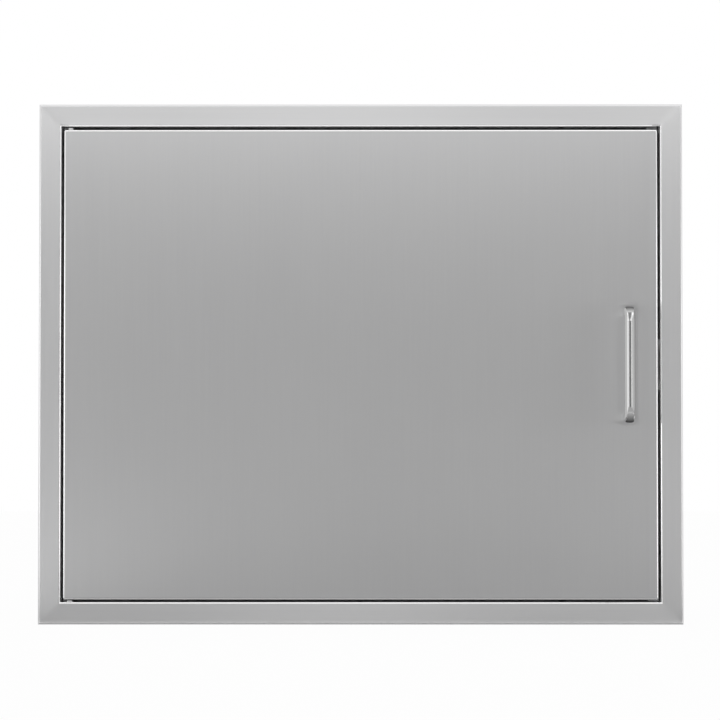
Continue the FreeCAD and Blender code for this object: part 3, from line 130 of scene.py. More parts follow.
def plain_finish(name, dark, light, grain, gloss, metallic=1.0, relief=0.08):
    """A finish whose tone, gloss and relief follow one noise. grain is the size of its specks in mm
    along X, Y and Z, and gloss the lowest and highest roughness."""
    material, tree, shader = new_finish(name)
    place = add(tree, "ShaderNodeTexCoord").outputs["Object"]
    scaled = add(tree, "ShaderNodeMapping",
                 {"Vector": place, "Scale": [1 / (g * MM) for g in grain]}).outputs[0]
    noise = add(tree, "ShaderNodeTexNoise",
                {"Vector": scaled, "Scale": 1.0, "Detail": GRAIN_DETAIL}).outputs[0]
    tint = add(tree, "ShaderNodeMix", {0: noise, COLOUR_A: linear(dark), COLOUR_B: linear(light)},
               data_type="RGBA").outputs[COLOUR_RESULT]
    roughness = add(tree, "ShaderNodeMapRange",
                    {"Value": noise, "To Min": gloss[0], "To Max": gloss[1]}).outputs[0]
    bump = add(tree, "ShaderNodeBump",
               {"Height": noise, "Strength": relief, "Distance": RELIEF_DEPTH}).outputs[0]
    fill(tree, shader, {"Base Color": tint, "Metallic": metallic, "Roughness": roughness, "Normal": bump})
    return material


def brushed_stainless(name, dark, light, grain, roughness, anisotropic, mitres=None):
    """Sheet with a straight brushed grain along X or Z, and smoother folds with a painted highlight: a
    near-white tone. With mitres, the (half width, half height) of the opening, the grain turns at them
    from the rails' direction to the stiles', and only the folds that face the opening get the painted
    highlight."""
    material, tree, shader = new_finish(name)
    surface = add(tree, "ShaderNodeTexCoord").outputs
    place, facing = surface["Object"], surface["Normal"]
    along_x = (1 / SCRATCH_LENGTH, 1 / SCRATCH_WIDTH, 1 / SCRATCH_WIDTH)
    along_z = (1 / SCRATCH_WIDTH, 1 / SCRATCH_WIDTH, 1 / SCRATCH_LENGTH)
    lines = {}
    for axis, scale in (("X", along_x), ("Z", along_z)):
        stretched = add(tree, "ShaderNodeMapping", {"Vector": place, "Scale": scale}).outputs[0]
        noise = add(tree, "ShaderNodeTexNoise", {"Vector": stretched, "Scale": 1.0, "Detail": GRAIN_DETAIL})
        lines[axis] = noise.outputs[0]
    directions = {"X": (1.0, 0.0, 0.0), "Z": (0.0, 0.0, 1.0)}
    gloss_and_highlight_reach = 1.0
    if mitres:
        spot = add(tree, "ShaderNodeSeparateXYZ", {0: place})
        past = []
        for axis, half in (("X", mitres[0]), ("Z", mitres[1])):
            size = add(tree, "ShaderNodeMath", {0: spot.outputs[axis]}, operation="ABSOLUTE").outputs[0]
            past.append(add(tree, "ShaderNodeMath", {0: size, 1: half}, operation="SUBTRACT").outputs[0])
        side = add(tree, "ShaderNodeMath", {0: past[0], 1: past[1]}, operation="SUBTRACT").outputs[0]
        outward = add(tree, "ShaderNodeVectorMath", {0: place, 1: facing},
                      operation="DOT_PRODUCT").outputs["Value"]
        # Only the folds that face the opening get the painted highlight
        gloss_and_highlight_reach = add(tree, "ShaderNodeMath", {0: outward, 1: FACES_OPENING},
                        operation="LESS_THAN").outputs[0]
        turn = add(tree, "ShaderNodeMapRange",
                   {"Value": side, "From Min": -DRESSED_WIDTH, "From Max": DRESSED_WIDTH},
                   interpolation_type="SMOOTHSTEP").outputs[0]
        scratches = add(tree, "ShaderNodeMix",
                        {0: turn, VALUE_A: lines["X"], VALUE_B: lines["Z"]}).outputs[VALUE_RESULT]
        direction = add(tree, "ShaderNodeMix",
                        {0: turn, VECTOR_A: directions["X"], VECTOR_B: directions["Z"]},
                        data_type="VECTOR").outputs[VECTOR_RESULT]
    else:
        scratches = lines[grain]
        direction = add(tree, "ShaderNodeCombineXYZ", dict(enumerate(directions[grain]))).outputs[0]
    clouds = add(tree, "ShaderNodeTexNoise", {"Vector": place, "Scale": 1 / CLOUD_SIZE, "Detail": 1.0})
    shade = add(tree, "ShaderNodeMix",
                {0: CLOUD_SHARE, VALUE_A: scratches, VALUE_B: clouds.outputs[0]}).outputs[VALUE_RESULT]
    tint = add(tree, "ShaderNodeMix",
               {0: shade, COLOUR_A: linear(dark), COLOUR_B: linear(light)}, data_type="RGBA")
    # Painted highlight on the folds: a mask from the way the sheet faces lifts its tone to near white, and
    # the same mask makes the folds smoother
    forward = add(tree, "ShaderNodeSeparateXYZ", {0: facing}).outputs["Y"]
    flat = add(tree, "ShaderNodeMath", {0: forward}, operation="ABSOLUTE").outputs[0]
    fold = add(tree, "ShaderNodeMapRange",
               {"Value": flat, "From Min": FOLD_START, "From Max": FOLD_FULL, "To Min": 0.0,
                "To Max": gloss_and_highlight_reach}).outputs[0]
    if not mitres:
        bent = add(tree, "ShaderNodeMapRange",
                   {"Value": flat, "From Min": WALL_START, "From Max": WALL_END}).outputs[0]
        fold = add(tree, "ShaderNodeMath", {0: fold, 1: bent}, operation="MULTIPLY").outputs[0]
    tint = add(tree, "ShaderNodeMix",
               {0: fold, COLOUR_A: tint.outputs[COLOUR_RESULT], COLOUR_B: linear(FOLD_HIGHLIGHT_TONE)},
               data_type="RGBA")
    gloss = add(tree, "ShaderNodeMapRange",
                {"Value": scratches, "To Min": roughness - GLOSS_SPREAD,
                 "To Max": roughness + GLOSS_SPREAD}).outputs[0]
    gloss = add(tree, "ShaderNodeMix",
                {0: fold, VALUE_A: gloss, VALUE_B: FOLD_ROUGHNESS}).outputs[VALUE_RESULT]
    relief = add(tree, "ShaderNodeBump",
                 {"Height": scratches, "Strength": SCRATCH_RELIEF, "Distance": SCRATCH_DEPTH}).outputs[0]
    run = add(tree, "ShaderNodeVectorTransform", {0: direction},
              vector_type="VECTOR", convert_from="OBJECT", convert_to="WORLD").outputs[0]
    normal = add(tree, "ShaderNodeNewGeometry").outputs["Normal"]
    spread = add(tree, "ShaderNodeVectorMath", {0: normal, 1: run}, operation="CROSS_PRODUCT").outputs[0]
    fill(tree, shader, {"Base Color": tint.outputs[COLOUR_RESULT], "Metallic": 1.0, "Roughness": gloss,
                        "Anisotropic": anisotropic, "Tangent": spread, "Normal": relief})
    return material


def new_tree(name, **sizes):
    """A geometry node tree with a geometry going in and out, and its sizes as named inputs."""
    tree = bpy.data.node_groups.new(name, "GeometryNodeTree")
    for way in ("INPUT", "OUTPUT"):
        tree.interface.new_socket("Geometry", in_out=way, socket_type="NodeSocketGeometry")
    kinds = {int: "NodeSocketInt", float: "NodeSocketFloat", tuple: "NodeSocketVector"}
    for size, value in sizes.items():
        socket = tree.interface.new_socket(size.replace("_", " "), in_out="INPUT",
                                           socket_type=kinds[type(value)])
        socket.default_value = value
    return tree, tree.nodes.new("NodeGroupInput").outputs


def end_tree(tree, geometry, material):
    """Closes a tree: instances made real, material set."""
    real = add(tree, "GeometryNodeRealizeInstances", {0: geometry}).outputs[0]
    painted = add(tree, "GeometryNodeSetMaterial", {"Geometry": real, "Material": material}).outputs[0]
    add(tree, "NodeGroupOutput", {0: painted})


SMOOTH_ANGLE = math.radians(40)      # faces that meet at less than this are shaded as one


def new_object(name, data):
    """An object in the scene that shows this data."""
    item = bpy.data.objects.new(name, data)
    bpy.context.scene.collection.objects.link(item)
    return item


def grown(name, tree, base, body, replaced=None, **sizes):
    """The tree run on a base mesh with these sizes, kept as one plain mesh that rides a body."""
    piece = new_object(name, base)
    modifier = piece.modifiers.new("made", "NODES")
    modifier.node_group = tree
    wanted = {key.replace("_", " "): value for key, value in sizes.items()}
    for item in tree.interface.items_tree:
        if item.in_out == "INPUT" and item.name in wanted:
            modifier[item.identifier] = wanted[item.name]
    depsgraph = bpy.context.evaluated_depsgraph_get()
    mesh = bpy.data.meshes.new_from_object(piece.evaluated_get(depsgraph), depsgraph=depsgraph)
    piece.modifiers.remove(modifier)
    piece.data = mesh
    mesh.name = name
    mesh.shade_smooth()
    mesh.set_sharp_from_angle(angle=SMOOTH_ANGLE)
    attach(piece, body)
    if replaced:
        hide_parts(replaced)
    return piece


def line_mesh(name, *paths):
    """A mesh of bare edges along each path of points; a path of one point is a bare point."""
    points = [p for path in paths for p in path]
    edges, first = [], 0
    for path in paths:
        edges += [(first + i, first + i + 1) for i in range(len(path) - 1)]
        first += len(path)
    mesh = bpy.data.meshes.new(name)
    mesh.from_pydata(points, edges, [])
    return mesh


FRAME_METAL = 1.2 * MM
TIP_INSET = 3.2 * MM         # a flange's weld starts this far inside the frame's outer corner
BOX_INSET = 1.4 * MM         # a box's weld lies this far outside the opening's corner
BOX_END = 1.5 * MM           # and this much short of the flange and of the box's rear edge
WELD_PITCH = 1.7 * MM
FLANGE_DROP = (3.2 * MM, 1.1 * MM, 3.2 * MM)     # one drop on the flange, flat against its back
BOX_DROP = (2.2 * MM, 2.8 * MM, 2.2 * MM)        # one drop on the corner of the box
DROP_SIDES, DROP_RINGS = 8, 6
WELD_GREY = "#8E8A84"
WELD_STRAW = "#A79A82"

# Weld metal cools in coarse ripples and keeps a straw tint from the heat
weld_metal = plain_finish("tig_weld_bead", WELD_GREY, WELD_STRAW, (6.0, 6.0, 6.0), (0.32, 0.5))
tree, size = new_tree("run_of_weld", Pitch=WELD_PITCH, Drop=FLANGE_DROP)
seam = add(tree, "GeometryNodeMeshToCurve", {0: size["Geometry"]}).outputs[0]
spots = add(tree, "GeometryNodeCurveToPoints", {"Curve": seam, "Length": size["Pitch"]},
            mode="LENGTH").outputs
ball = add(tree, "GeometryNodeMeshUVSphere",
           {"Segments": DROP_SIDES, "Rings": DROP_RINGS, "Radius": 0.5}).outputs[0]
drops = add(tree, "GeometryNodeInstanceOnPoints",
            {"Points": spots["Points"], "Instance": ball, "Scale": size["Drop"]}).outputs[0]
end_tree(tree, drops, weld_metal)

# The belt's lines spread each reflection across the grain, so the sheet has a soft sheen in bands
opening_half_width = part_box("stop_right")[1].x
opening_half_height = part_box("stop_right")[1].z
frame_steel = brushed_stainless("brushed_304_frame", FRAME_DARK, FRAME_LIGHT, "X", roughness=0.32,
                                anisotropic=0.75, mitres=(opening_half_width, opening_half_height))
dress(frame_steel, "frame_top_rail", "frame_bottom_rail", "frame_left_stile", "frame_right_stile")

# The mitres are welded from behind: along the flange, then back along the corner of the box
frame_low, frame_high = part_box("frame_right_stile")
flange_back = frame_low.y + FRAME_METAL
box_x, box_z = opening_half_width + BOX_INSET, opening_half_height + BOX_INSET
tip_x, tip_z = frame_high.x - TIP_INSET, frame_high.z - TIP_INSET
flange_seams, box_seams = [], []
for side in (-1, 1):
    for end in (-1, 1):
        tip = (side * tip_x, flange_back, end * tip_z)
        heel = (side * box_x, flange_back, end * box_z)
        flange_seams.append([tip, heel])
        box_seams.append([(heel[0], y, heel[2]) for y in (flange_back + BOX_END, frame_high.y - BOX_END)])
grown("flange_welds", tree, line_mesh("flange_seams", *flange_seams), "frame", Drop=FLANGE_DROP)
grown("box_welds", tree, line_mesh("box_seams", *box_seams), "frame", Drop=BOX_DROP)


# Stop angles: folded strips that the closed door rests against, spot welded inside the box. They
# keep the dull finish of sheet as it leaves the rolling mill.

MILL_DARK = "#A2A3A5"
MILL_LIGHT = "#B2B3B4"

# Mill finish: an even matt grey, with faint lines from the rolls
mill_steel = plain_finish("mill_finish_304", MILL_DARK, MILL_LIGHT, (1.4, 1.4, 9.0), (0.34, 0.44))
dress(mill_steel, "stop_top", "stop_bottom", "stop_left", "stop_right")

SPOT_RADIUS = 2.4 * MM
SPOT_DEPTH = 0.25 * MM
SPOT_STEP = 62 * MM
SPOT_END = 30 * MM           # least distance from a spot to the end of its stop
STOP_METAL = 1.2 * MM
LEG_SHIFT = 1.5 * MM         # the spots lie behind the middle of the leg, clear of its fold
SPOT_SIDES, SPOT_RINGS = 16, 8
SPOT_BLUE = "#7D7F86"
SPOT_GOLD = "#A0937C"

# A spot weld is a shallow disc, tinted blue and gold by its heat
spot_metal = plain_finish("heat_tinted_spot", SPOT_BLUE, SPOT_GOLD, (2.2, 2.2, 2.2), (0.3, 0.45))
tree, size = new_tree("spot_welds", Spot_size=(SPOT_RADIUS, SPOT_RADIUS, SPOT_DEPTH))
ball = add(tree, "GeometryNodeMeshUVSphere",
           {"Segments": SPOT_SIDES, "Rings": SPOT_RINGS, "Radius": 1.0}).outputs[0]
spots = add(tree, "GeometryNodeInstanceOnPoints",
            {"Points": size["Geometry"], "Instance": ball, "Scale": size["Spot size"]}).outputs[0]
end_tree(tree, spots, spot_metal)

# The inner face of each stop's leg shows its row of spot welds
stop_low, stop_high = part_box("stop_right")
spot_y = (stop_low.y + stop_high.y) / 2 + LEG_SHIFT
for axis, half, run in (("x", opening_half_width, opening_half_height),
                        ("z", opening_half_height, opening_half_width)):
    count = int((2 * run - 2 * SPOT_END) // SPOT_STEP) + 1
    spots = []
    for side in (-1, 1):
        for i in range(count):
            out, along = side * (half - STOP_METAL), (i - (count - 1) / 2) * SPOT_STEP
            spots.append([(out, spot_y, along) if axis == "x" else (along, spot_y, out)])
    across = (SPOT_DEPTH, SPOT_RADIUS) if axis == "x" else (SPOT_RADIUS, SPOT_DEPTH)
    grown(f"spot_welds_{axis}", tree, line_mesh(f"spots_{axis}", *spots), "frame",
          Spot_size=(across[0], SPOT_RADIUS, across[1]))


# Pivot plates: strips that double the rails where the pins stand, zinc plated. The lower one holds
# the fixed pin, turned from stainless bar, and the upper one the nylon bush that the upper pin enters.

ZINC_DARK = "#8D9094"
ZINC_LIGHT = "#A4A8AA"
PIN_DARK = "#E2E2E2"
PIN_LIGHT = "#F2F2F2"
BLACK_NYLON = "#1B1B1D"
BLACK_NYLON_WORN = "#2A2A2C"

# Zinc plate is a cool grey, softly glossy, with a faint mottle
plated_steel = plain_finish("zinc_plated_steel", ZINC_DARK, ZINC_LIGHT, (3.0, 3.0, 3.0), (0.3, 0.42))
# Turned bar shows fine rings from the tool, which blur what it mirrors
turned_steel = plain_finish("turned_303_bar", PIN_DARK, PIN_LIGHT, (60.0, 60.0, 0.22), (0.3, 0.42),
                            relief=0.2)
# Moulded nylon is matt, with the mould's fine grain
black_nylon = plain_finish("black_moulded_nylon", BLACK_NYLON, BLACK_NYLON_WORN, (0.5, 0.5, 0.5),
                           (0.42, 0.55), metallic=0.0)
dress(plated_steel, "upper_pivot_plate", "lower_pivot_plate")
dress(turned_steel, "lower_pivot_pin")
dress(black_nylon, "upper_pivot_bush")


# Magnetic catch: a white moulded case screwed to the right stop with two hex socket screws, with a
# block of ferrite between two steel pole plates that stand a little proud of it.

WHITE_NYLON = "#D9D8D2"
WHITE_NYLON_WORN = "#E3E2DD"
FERRITE_DARK = "#2B2A2C"
FERRITE_LIGHT = "#3C3B3D"
SCREW_DARK = "#909194"
SCREW_LIGHT = "#A9AAAC"
white_nylon = plain_finish("white_moulded_nylon", WHITE_NYLON, WHITE_NYLON_WORN, (0.7, 0.7, 0.7),
                           (0.45, 0.58), metallic=0.0)
# Sintered ferrite is nearly black and dull, with a fine crumb
ferrite = plain_finish("sintered_ferrite", FERRITE_DARK, FERRITE_LIGHT, (0.4, 0.4, 0.4), (0.5, 0.65),
                       metallic=0.0)
# Cold headed steel is smooth and grey, and glossier than plate
fastener_steel = plain_finish("cold_headed_fastener_steel", SCREW_DARK, SCREW_LIGHT, (0.8, 0.8, 0.8),
                              (0.26, 0.36))
dress(white_nylon, "magnet_catch_case")
dress(ferrite, "magnet_block")
dress(plated_steel, "magnet_pole_plates")
dress(fastener_steel, "magnet_catch_screws")


# Bumpers: four small pads of black rubber that the door closes against, two stuck on the right stop
# and one each on the top and bottom stops.

RUBBER_DARK = "#161616"
RUBBER_LIGHT = "#242424"

# Rubber swallows light: black, with no gloss
rubber = plain_finish("black_rubber", RUBBER_DARK, RUBBER_LIGHT, (0.6, 0.6, 0.6), (0.65, 0.8),
                      metallic=0.0)
dress(rubber, "door_bumpers")


# Door skin: one pan of the same brushed sheet, its grain up and down, folded on four sides and
# welded and dressed at the corners. It reads a little darker than the frame round it.

DOOR_DARK = "#CACACB"
DOOR_LIGHT = "#D1D1D1"
door_steel = brushed_stainless("brushed_304_door", DOOR_DARK, DOOR_LIGHT, "Z", roughness=0.32,
                               anisotropic=0.8)
dress(door_steel, "door_skin")


# Stiffeners and liner: two folded hats that stop the wide face from drumming, and the flat sheet that
# closes the back of the door. Both keep the mill's finish.

dress(mill_steel, "door_stiffener_left", "door_stiffener_right", "door_liner")


# Liner rivets: blind rivets through the liner into the folded edges of the skin. Each has a domed
# head with the broken stem in its middle, a shank, and a tail that the stem has spread.

RIVETS_ACROSS, RIVETS_DOWN = 5, 4
RIVET_CORNER = 63.0 * MM     # corner of the rivets' rectangle to the first one of a side row
HEAD_RADIUS = 3.25 * MM
SHANK_RADIUS = 1.6 * MM
TAIL_RADIUS = 2.4 * MM
TAIL_DEPTH = 1.0 * MM        # half the length of the swollen tail
STEM_RADIUS = 0.75 * MM
STEM_SUNK = 0.14 * MM        # the broken stem below the dome's top
RIM_RADIUS = 1.05 * MM       # the raised edge round the stem
DOME_SHARE = 0.85            # dome, as a share of the head's height; the raised edge is the rest
RIVET_SIDES, RIVET_RINGS = 20, 10
RIM_SIDES = 8
rivet_steel = plain_finish("blind_rivet_steel", SCREW_DARK, SCREW_LIGHT, (1.0, 1.0, 1.0), (0.28, 0.4))
low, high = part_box("liner_rivets")
liner_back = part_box("door_liner")[1].y
head_height = high.y - liner_back
shank_length = liner_back - low.y - TAIL_DEPTH
dome_height = DOME_SHARE * head_height
tree, size = new_tree("blind_rivets", Head=(HEAD_RADIUS, dome_height, HEAD_RADIUS),
                      Stem_radius=STEM_RADIUS, Stem_place=(0.0, dome_height - STEM_SUNK, 0.0),
                      Rim_radius=RIM_RADIUS, Rim_wire=head_height - dome_height,
                      Rim_place=(0.0, dome_height, 0.0), Shank_radius=SHANK_RADIUS,
                      Shank_length=shank_length, Shank_place=(0.0, -shank_length / 2, 0.0),
                      Tail=(TAIL_RADIUS, TAIL_DEPTH, TAIL_RADIUS), Tail_place=(0.0, -shank_length, 0.0))
ball = add(tree, "GeometryNodeMeshUVSphere",
           {"Segments": RIVET_SIDES, "Rings": RIVET_RINGS, "Radius": 1.0}).outputs[0]
stem = add(tree, "GeometryNodeMeshCylinder",
           {"Vertices": RIVET_SIDES, "Radius": size["Stem radius"], "Depth": size["Rim wire"]}).outputs[0]
shank = add(tree, "GeometryNodeMeshCylinder",
            {"Vertices": RIVET_SIDES, "Radius": size["Shank radius"],
             "Depth": size["Shank length"]}).outputs[0]
ring = add(tree, "GeometryNodeCurvePrimitiveCircle",
           {"Resolution": RIVET_SIDES, "Radius": size["Rim radius"]}).outputs[0]
wire = add(tree, "GeometryNodeCurvePrimitiveCircle",
           {"Resolution": RIM_SIDES, "Radius": size["Rim wire"]}).outputs[0]
rim = add(tree, "GeometryNodeCurveToMesh", {"Curve": ring, "Profile Curve": wire}).outputs[0]
whole = add(tree, "GeometryNodeJoinGeometry")
for shape, turned, scale, place in ((ball, False, "Head", None), (stem, True, None, "Stem place"),
                                    (rim, True, None, "Rim place"), (shank, True, None, "Shank place"),
                                    (ball, False, "Tail", "Tail place")):
    settings = {"Geometry": shape}
    if turned:
        settings["Rotation"] = (math.pi / 2, 0, 0)
    if scale:
        settings["Scale"] = size[scale]
    if place:
        settings["Translation"] = size[place]
    part = add(tree, "GeometryNodeTransform", settings).outputs[0]
    tree.links.new(part, whole.inputs[0])
spots = add(tree, "GeometryNodeInstanceOnPoints",
            {"Points": size["Geometry"], "Instance": whole.outputs[0]}).outputs[0]
end_tree(tree, spots, rivet_steel)

left, right = low.x + HEAD_RADIUS, high.x - HEAD_RADIUS
bottom, top = low.z + HEAD_RADIUS, high.z - HEAD_RADIUS
rivet_spots = []
for i in range(RIVETS_ACROSS):
    share = i / (RIVETS_ACROSS - 1)
    across = left + RIVET_CORNER + share * (right - left - 2 * RIVET_CORNER)
    rivet_spots += [(across, liner_back, bottom), (across, liner_back, top)]
for i in range(RIVETS_DOWN):
    share = i / (RIVETS_DOWN - 1)
    up = bottom + RIVET_CORNER + share * (top - bottom - 2 * RIVET_CORNER)
    rivet_spots += [(left, liner_back, up), (right, liner_back, up)]
rivets = grown("blind_rivets", tree, line_mesh("rivet_spots", *[[spot] for spot in rivet_spots]), "door",
               "liner_rivets")


# Handle: one bar of solid stainless with rounded corners, bent into a bow and buffed to a mirror. It
# stands on the skin on its two ends; its narrow stripes along the grip are painted reflections of glowing
# cards set close round it in the studio.

HANDLE_DEPTH = 10.0 * MM     # front to back, with the crown
HANDLE_CORNER = 2.75 * MM
HANDLE_CROWN = 0.45 * MM     # how far the outer face swells between its corners
HANDLE_BEND_RADIUS = 11 * MM
HANDLE_CUTS = 3              # extra points on each side of the bar's outline, for the crown
CROWN_END = 0.5 ** 2         # where the crown ends: the square of half the bar's width, as a share of it
HANDLE_DARK = "#DEDEDE"
HANDLE_LIGHT = "#E6E6E6"

# Buffing leaves a mirror, with the faintest haze along the bar
polished_steel = plain_finish("mirror_polished_304", HANDLE_DARK, HANDLE_LIGHT, (0.5, 0.5, 16.0),
                              (0.06, 0.12), relief=0.02)
low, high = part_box("handle_bar")
bar_x = (high.x + low.x) / 2
flat_depth = HANDLE_DEPTH - HANDLE_CROWN
tree, size = new_tree("bent_bar", Width=high.x - low.x, Depth=flat_depth, Crown=HANDLE_CROWN,
                      Corner_radius=HANDLE_CORNER, Bend_radius=HANDLE_BEND_RADIUS, Bend_steps=28,
                      Corner_steps=8)
bar_line = add(tree, "GeometryNodeMeshToCurve", {0: size["Geometry"]}).outputs[0]
bent = add(tree, "GeometryNodeFilletCurve",
           {"Curve": bar_line, "Count": size["Bend steps"], "Radius": size["Bend radius"]},
           mode="POLY").outputs[0]
outline = add(tree, "GeometryNodeCurvePrimitiveQuadrilateral",
              {"Width": size["Width"], "Height": size["Depth"]}).outputs[0]
rounded = add(tree, "GeometryNodeFilletCurve",
              {"Curve": outline, "Count": size["Corner steps"], "Radius": size["Corner radius"]},
              mode="POLY").outputs[0]
rounded = add(tree, "GeometryNodeSubdivideCurve", {"Curve": rounded, "Cuts": HANDLE_CUTS}).outputs[0]
spot = add(tree, "ShaderNodeSeparateXYZ", {0: add(tree, "GeometryNodeInputPosition").outputs[0]}).outputs
across = add(tree, "ShaderNodeMath", {0: spot["X"], 1: size["Width"]}, operation="DIVIDE").outputs[0]
fall = add(tree, "ShaderNodeMath", {0: across, 1: across}, operation="MULTIPLY").outputs[0]
swell = add(tree, "ShaderNodeMapRange",
            {"Value": fall, "From Max": CROWN_END, "To Min": size["Crown"], "To Max": 0.0}).outputs[0]
outer = add(tree, "ShaderNodeMath", {0: spot["Y"], 1: 0.0}, operation="GREATER_THAN").outputs[0]
swell = add(tree, "ShaderNodeMath", {0: swell, 1: outer}, operation="MULTIPLY").outputs[0]
lift = add(tree, "ShaderNodeCombineXYZ", {1: swell}).outputs[0]
section = add(tree, "GeometryNodeSetPosition", {"Geometry": rounded, "Offset": lift}).outputs[0]
bar = add(tree, "GeometryNodeCurveToMesh",
          {"Curve": bent, "Profile Curve": section, "Fill Caps": True}).outputs[0]
end_tree(tree, bar, polished_steel)

line_inset = flat_depth / 2 + HANDLE_CROWN
path = [(bar_x, high.y, low.z + line_inset), (bar_x, low.y + line_inset, low.z + line_inset),
        (bar_x, low.y + line_inset, high.z - line_inset), (bar_x, high.y, high.z - line_inset)]
handle = grown("handle_bow", tree, line_mesh("handle_line", path), "door", "handle_bar")

# So much light comes from all sides in the photo that the bar leaves no shadow on the door
handle.visible_shadow = False


# Handle fixings inside the door: a plated backing plate, two hex socket screws and washers, and the
# black plugs that close the liner's holes over them.

dress(plated_steel, "handle_backing_plate")
dress(fastener_steel, "handle_screws", "handle_washers")
dress(black_nylon, "liner_hole_plugs")


# Hinge brackets: folded plated strips inside the door, that carry the lower nylon bush and guide the
# upper pin. Strike plate: plated steel, held by two countersunk screws, which the magnet pulls.

dress(plated_steel, "lower_hinge_bracket", "upper_hinge_bracket", "strike_plate")
dress(black_nylon, "lower_pivot_bush")
dress(fastener_steel, "strike_plate_screws")


# Upper pin: a turned pin that a spring pushes up into the frame's bush. The lever and the clip grip
# it, and the spring is drawn wire with one closed turn at each end.

SPRING_TURNS = 9
SPRING_END_PITCH = 1.3 * MM
SPRING_WIRE = 0.8 * MM
TURN_STEPS = 28
WIRE_DARK = "#85868A"
WIRE_LIGHT = "#9C9DA0"
dress(turned_steel, "upper_pivot_pin")
dress(plated_steel, "release_lever")
dress(fastener_steel, "pin_clip")
# Drawn wire is smooth and darker than the plate, with a fine grain from the die
wire_steel = plain_finish("drawn_spring_wire", WIRE_DARK, WIRE_LIGHT, (0.6, 0.6, 0.6), (0.24, 0.34))
tree, size = new_tree("coiled_wire", Wire_radius=SPRING_WIRE / 2, Sides=12)
wire_line = add(tree, "GeometryNodeMeshToCurve", {0: size["Geometry"]}).outputs[0]
section = add(tree, "GeometryNodeCurvePrimitiveCircle",
              {"Resolution": size["Sides"], "Radius": size["Wire radius"]}).outputs[0]
wire = add(tree, "GeometryNodeCurveToMesh",
           {"Curve": wire_line, "Profile Curve": section, "Fill Caps": True}).outputs[0]
end_tree(tree, wire, wire_steel)

low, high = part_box("pivot_spring")
axis_x, axis_y = (low.x + high.x) / 2, (low.y + high.y) / 2
coil_radius = (high.x - low.x - SPRING_WIRE) / 2
coil_height = high.z - low.z - SPRING_WIRE
open_pitch = (coil_height - 2 * SPRING_END_PITCH) / (SPRING_TURNS - 2)
coil = []
for i in range(SPRING_TURNS * TURN_STEPS + 1):
    turn = i / TURN_STEPS
    closed = min(turn, 1) + max(turn - (SPRING_TURNS - 1), 0)
    up = closed * SPRING_END_PITCH + (turn - closed) * open_pitch
    angle = 2 * math.pi * turn
    coil.append((axis_x + coil_radius * math.cos(angle), axis_y + coil_radius * math.sin(angle),
                 low.z + SPRING_WIRE / 2 + up))
spring = grown("coil_spring", tree, line_mesh("coil_line", coil), "door", "pivot_spring")
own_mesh(spring)


# Studio: a pale floor under the frame's lower edge, a white surround and three soft boxes. Cards that
# only reflections show stand for the room's dark walls, bright ceiling and floor; those close to the
# handle, the top rail and the frame's foot are painted highlights and shade in their reflections. None of
# it is the object.

FLOOR_SIZE = 14.0
FLOOR_PALE = "#F4F4F4"
FLOOR_ROUGHNESS = 0.9
FLOOR_GLOW = 0.95            # share of the floor's white that doesn't wait for the lamps
SURROUND_LIGHT = 0.8         # the surround's light on dull surfaces; seen or mirrored, it is white
QUARTER, HALF = math.radians(90), math.radians(180)
UPWARD, DOWNWARD = (0, 0, 0), (0, HALF, 0)       # the turn that makes a card face each way
FORWARD, BACKWARD = (QUARTER, 0, 0), (QUARTER, 0, HALF)
LEFTWARD, RIGHTWARD = (QUARTER, 0, -QUARTER), (QUARTER, 0, QUARTER)


def soft_box(name, width, height, place, target, radiance):
    """A rectangular lamp that faces its target; radiance is its brightness against white."""
    lamp = bpy.data.lights.new(name, "AREA")
    lamp.shape = "RECTANGLE"
    lamp.size, lamp.size_y = width, height
    lamp.energy = radiance * math.pi * width * height
    box = new_object(name, lamp)
    box.location = place
    box.rotation_euler = (Vector(target) - Vector(place)).to_track_quat("-Z", "Y").to_euler()
    box.visible_camera = False


def flat_sheet(name, width, height):
    """A rectangle that faces up, as a mesh."""
    sheet = bpy.data.meshes.new(name)
    w, h = width / 2, height / 2
    sheet.from_pydata([(-w, -h, 0), (w, -h, 0), (w, h, 0), (-w, h, 0)], [], [(0, 1, 2, 3)])
    return sheet


def glow_card(name, width, height, place, facing, radiance, front=None):
    """A flat card of one brightness against white, that shows only in reflections and only on the side
    that it faces. One that lies flat may shade from front, its brightness at the front edge, to
    radiance at the back one."""
    sheet = flat_sheet(name, width, height)
    flag = new_object(name, sheet)
    flag.location = place
    flag.rotation_euler = facing
    material, tree, shader = new_finish(name)
    if front is not None:
        spot = add(tree, "ShaderNodeTexCoord").outputs["Object"]
        spot = add(tree, "ShaderNodeSeparateXYZ", {0: spot}).outputs["Y"]
        radiance = add(tree, "ShaderNodeMapRange",
                       {"Value": spot, "From Min": -height / 2, "From Max": height / 2,
                        "To Min": front, "To Max": radiance}).outputs[0]
    behind = add(tree, "ShaderNodeNewGeometry").outputs["Backfacing"]
    solid = add(tree, "ShaderNodeMath", {0: 1.0, 1: behind}, operation="SUBTRACT").outputs[0]
    fill(tree, shader, {"Base Color": (0, 0, 0, 1), "Emission Color": (1, 1, 1, 1),
                        "Emission Strength": radiance, "Specular IOR Level": 0.0, "Alpha": solid})
    sheet.materials.append(material)
    flag.visible_camera = False
    flag.visible_diffuse = False
    flag.visible_shadow = False


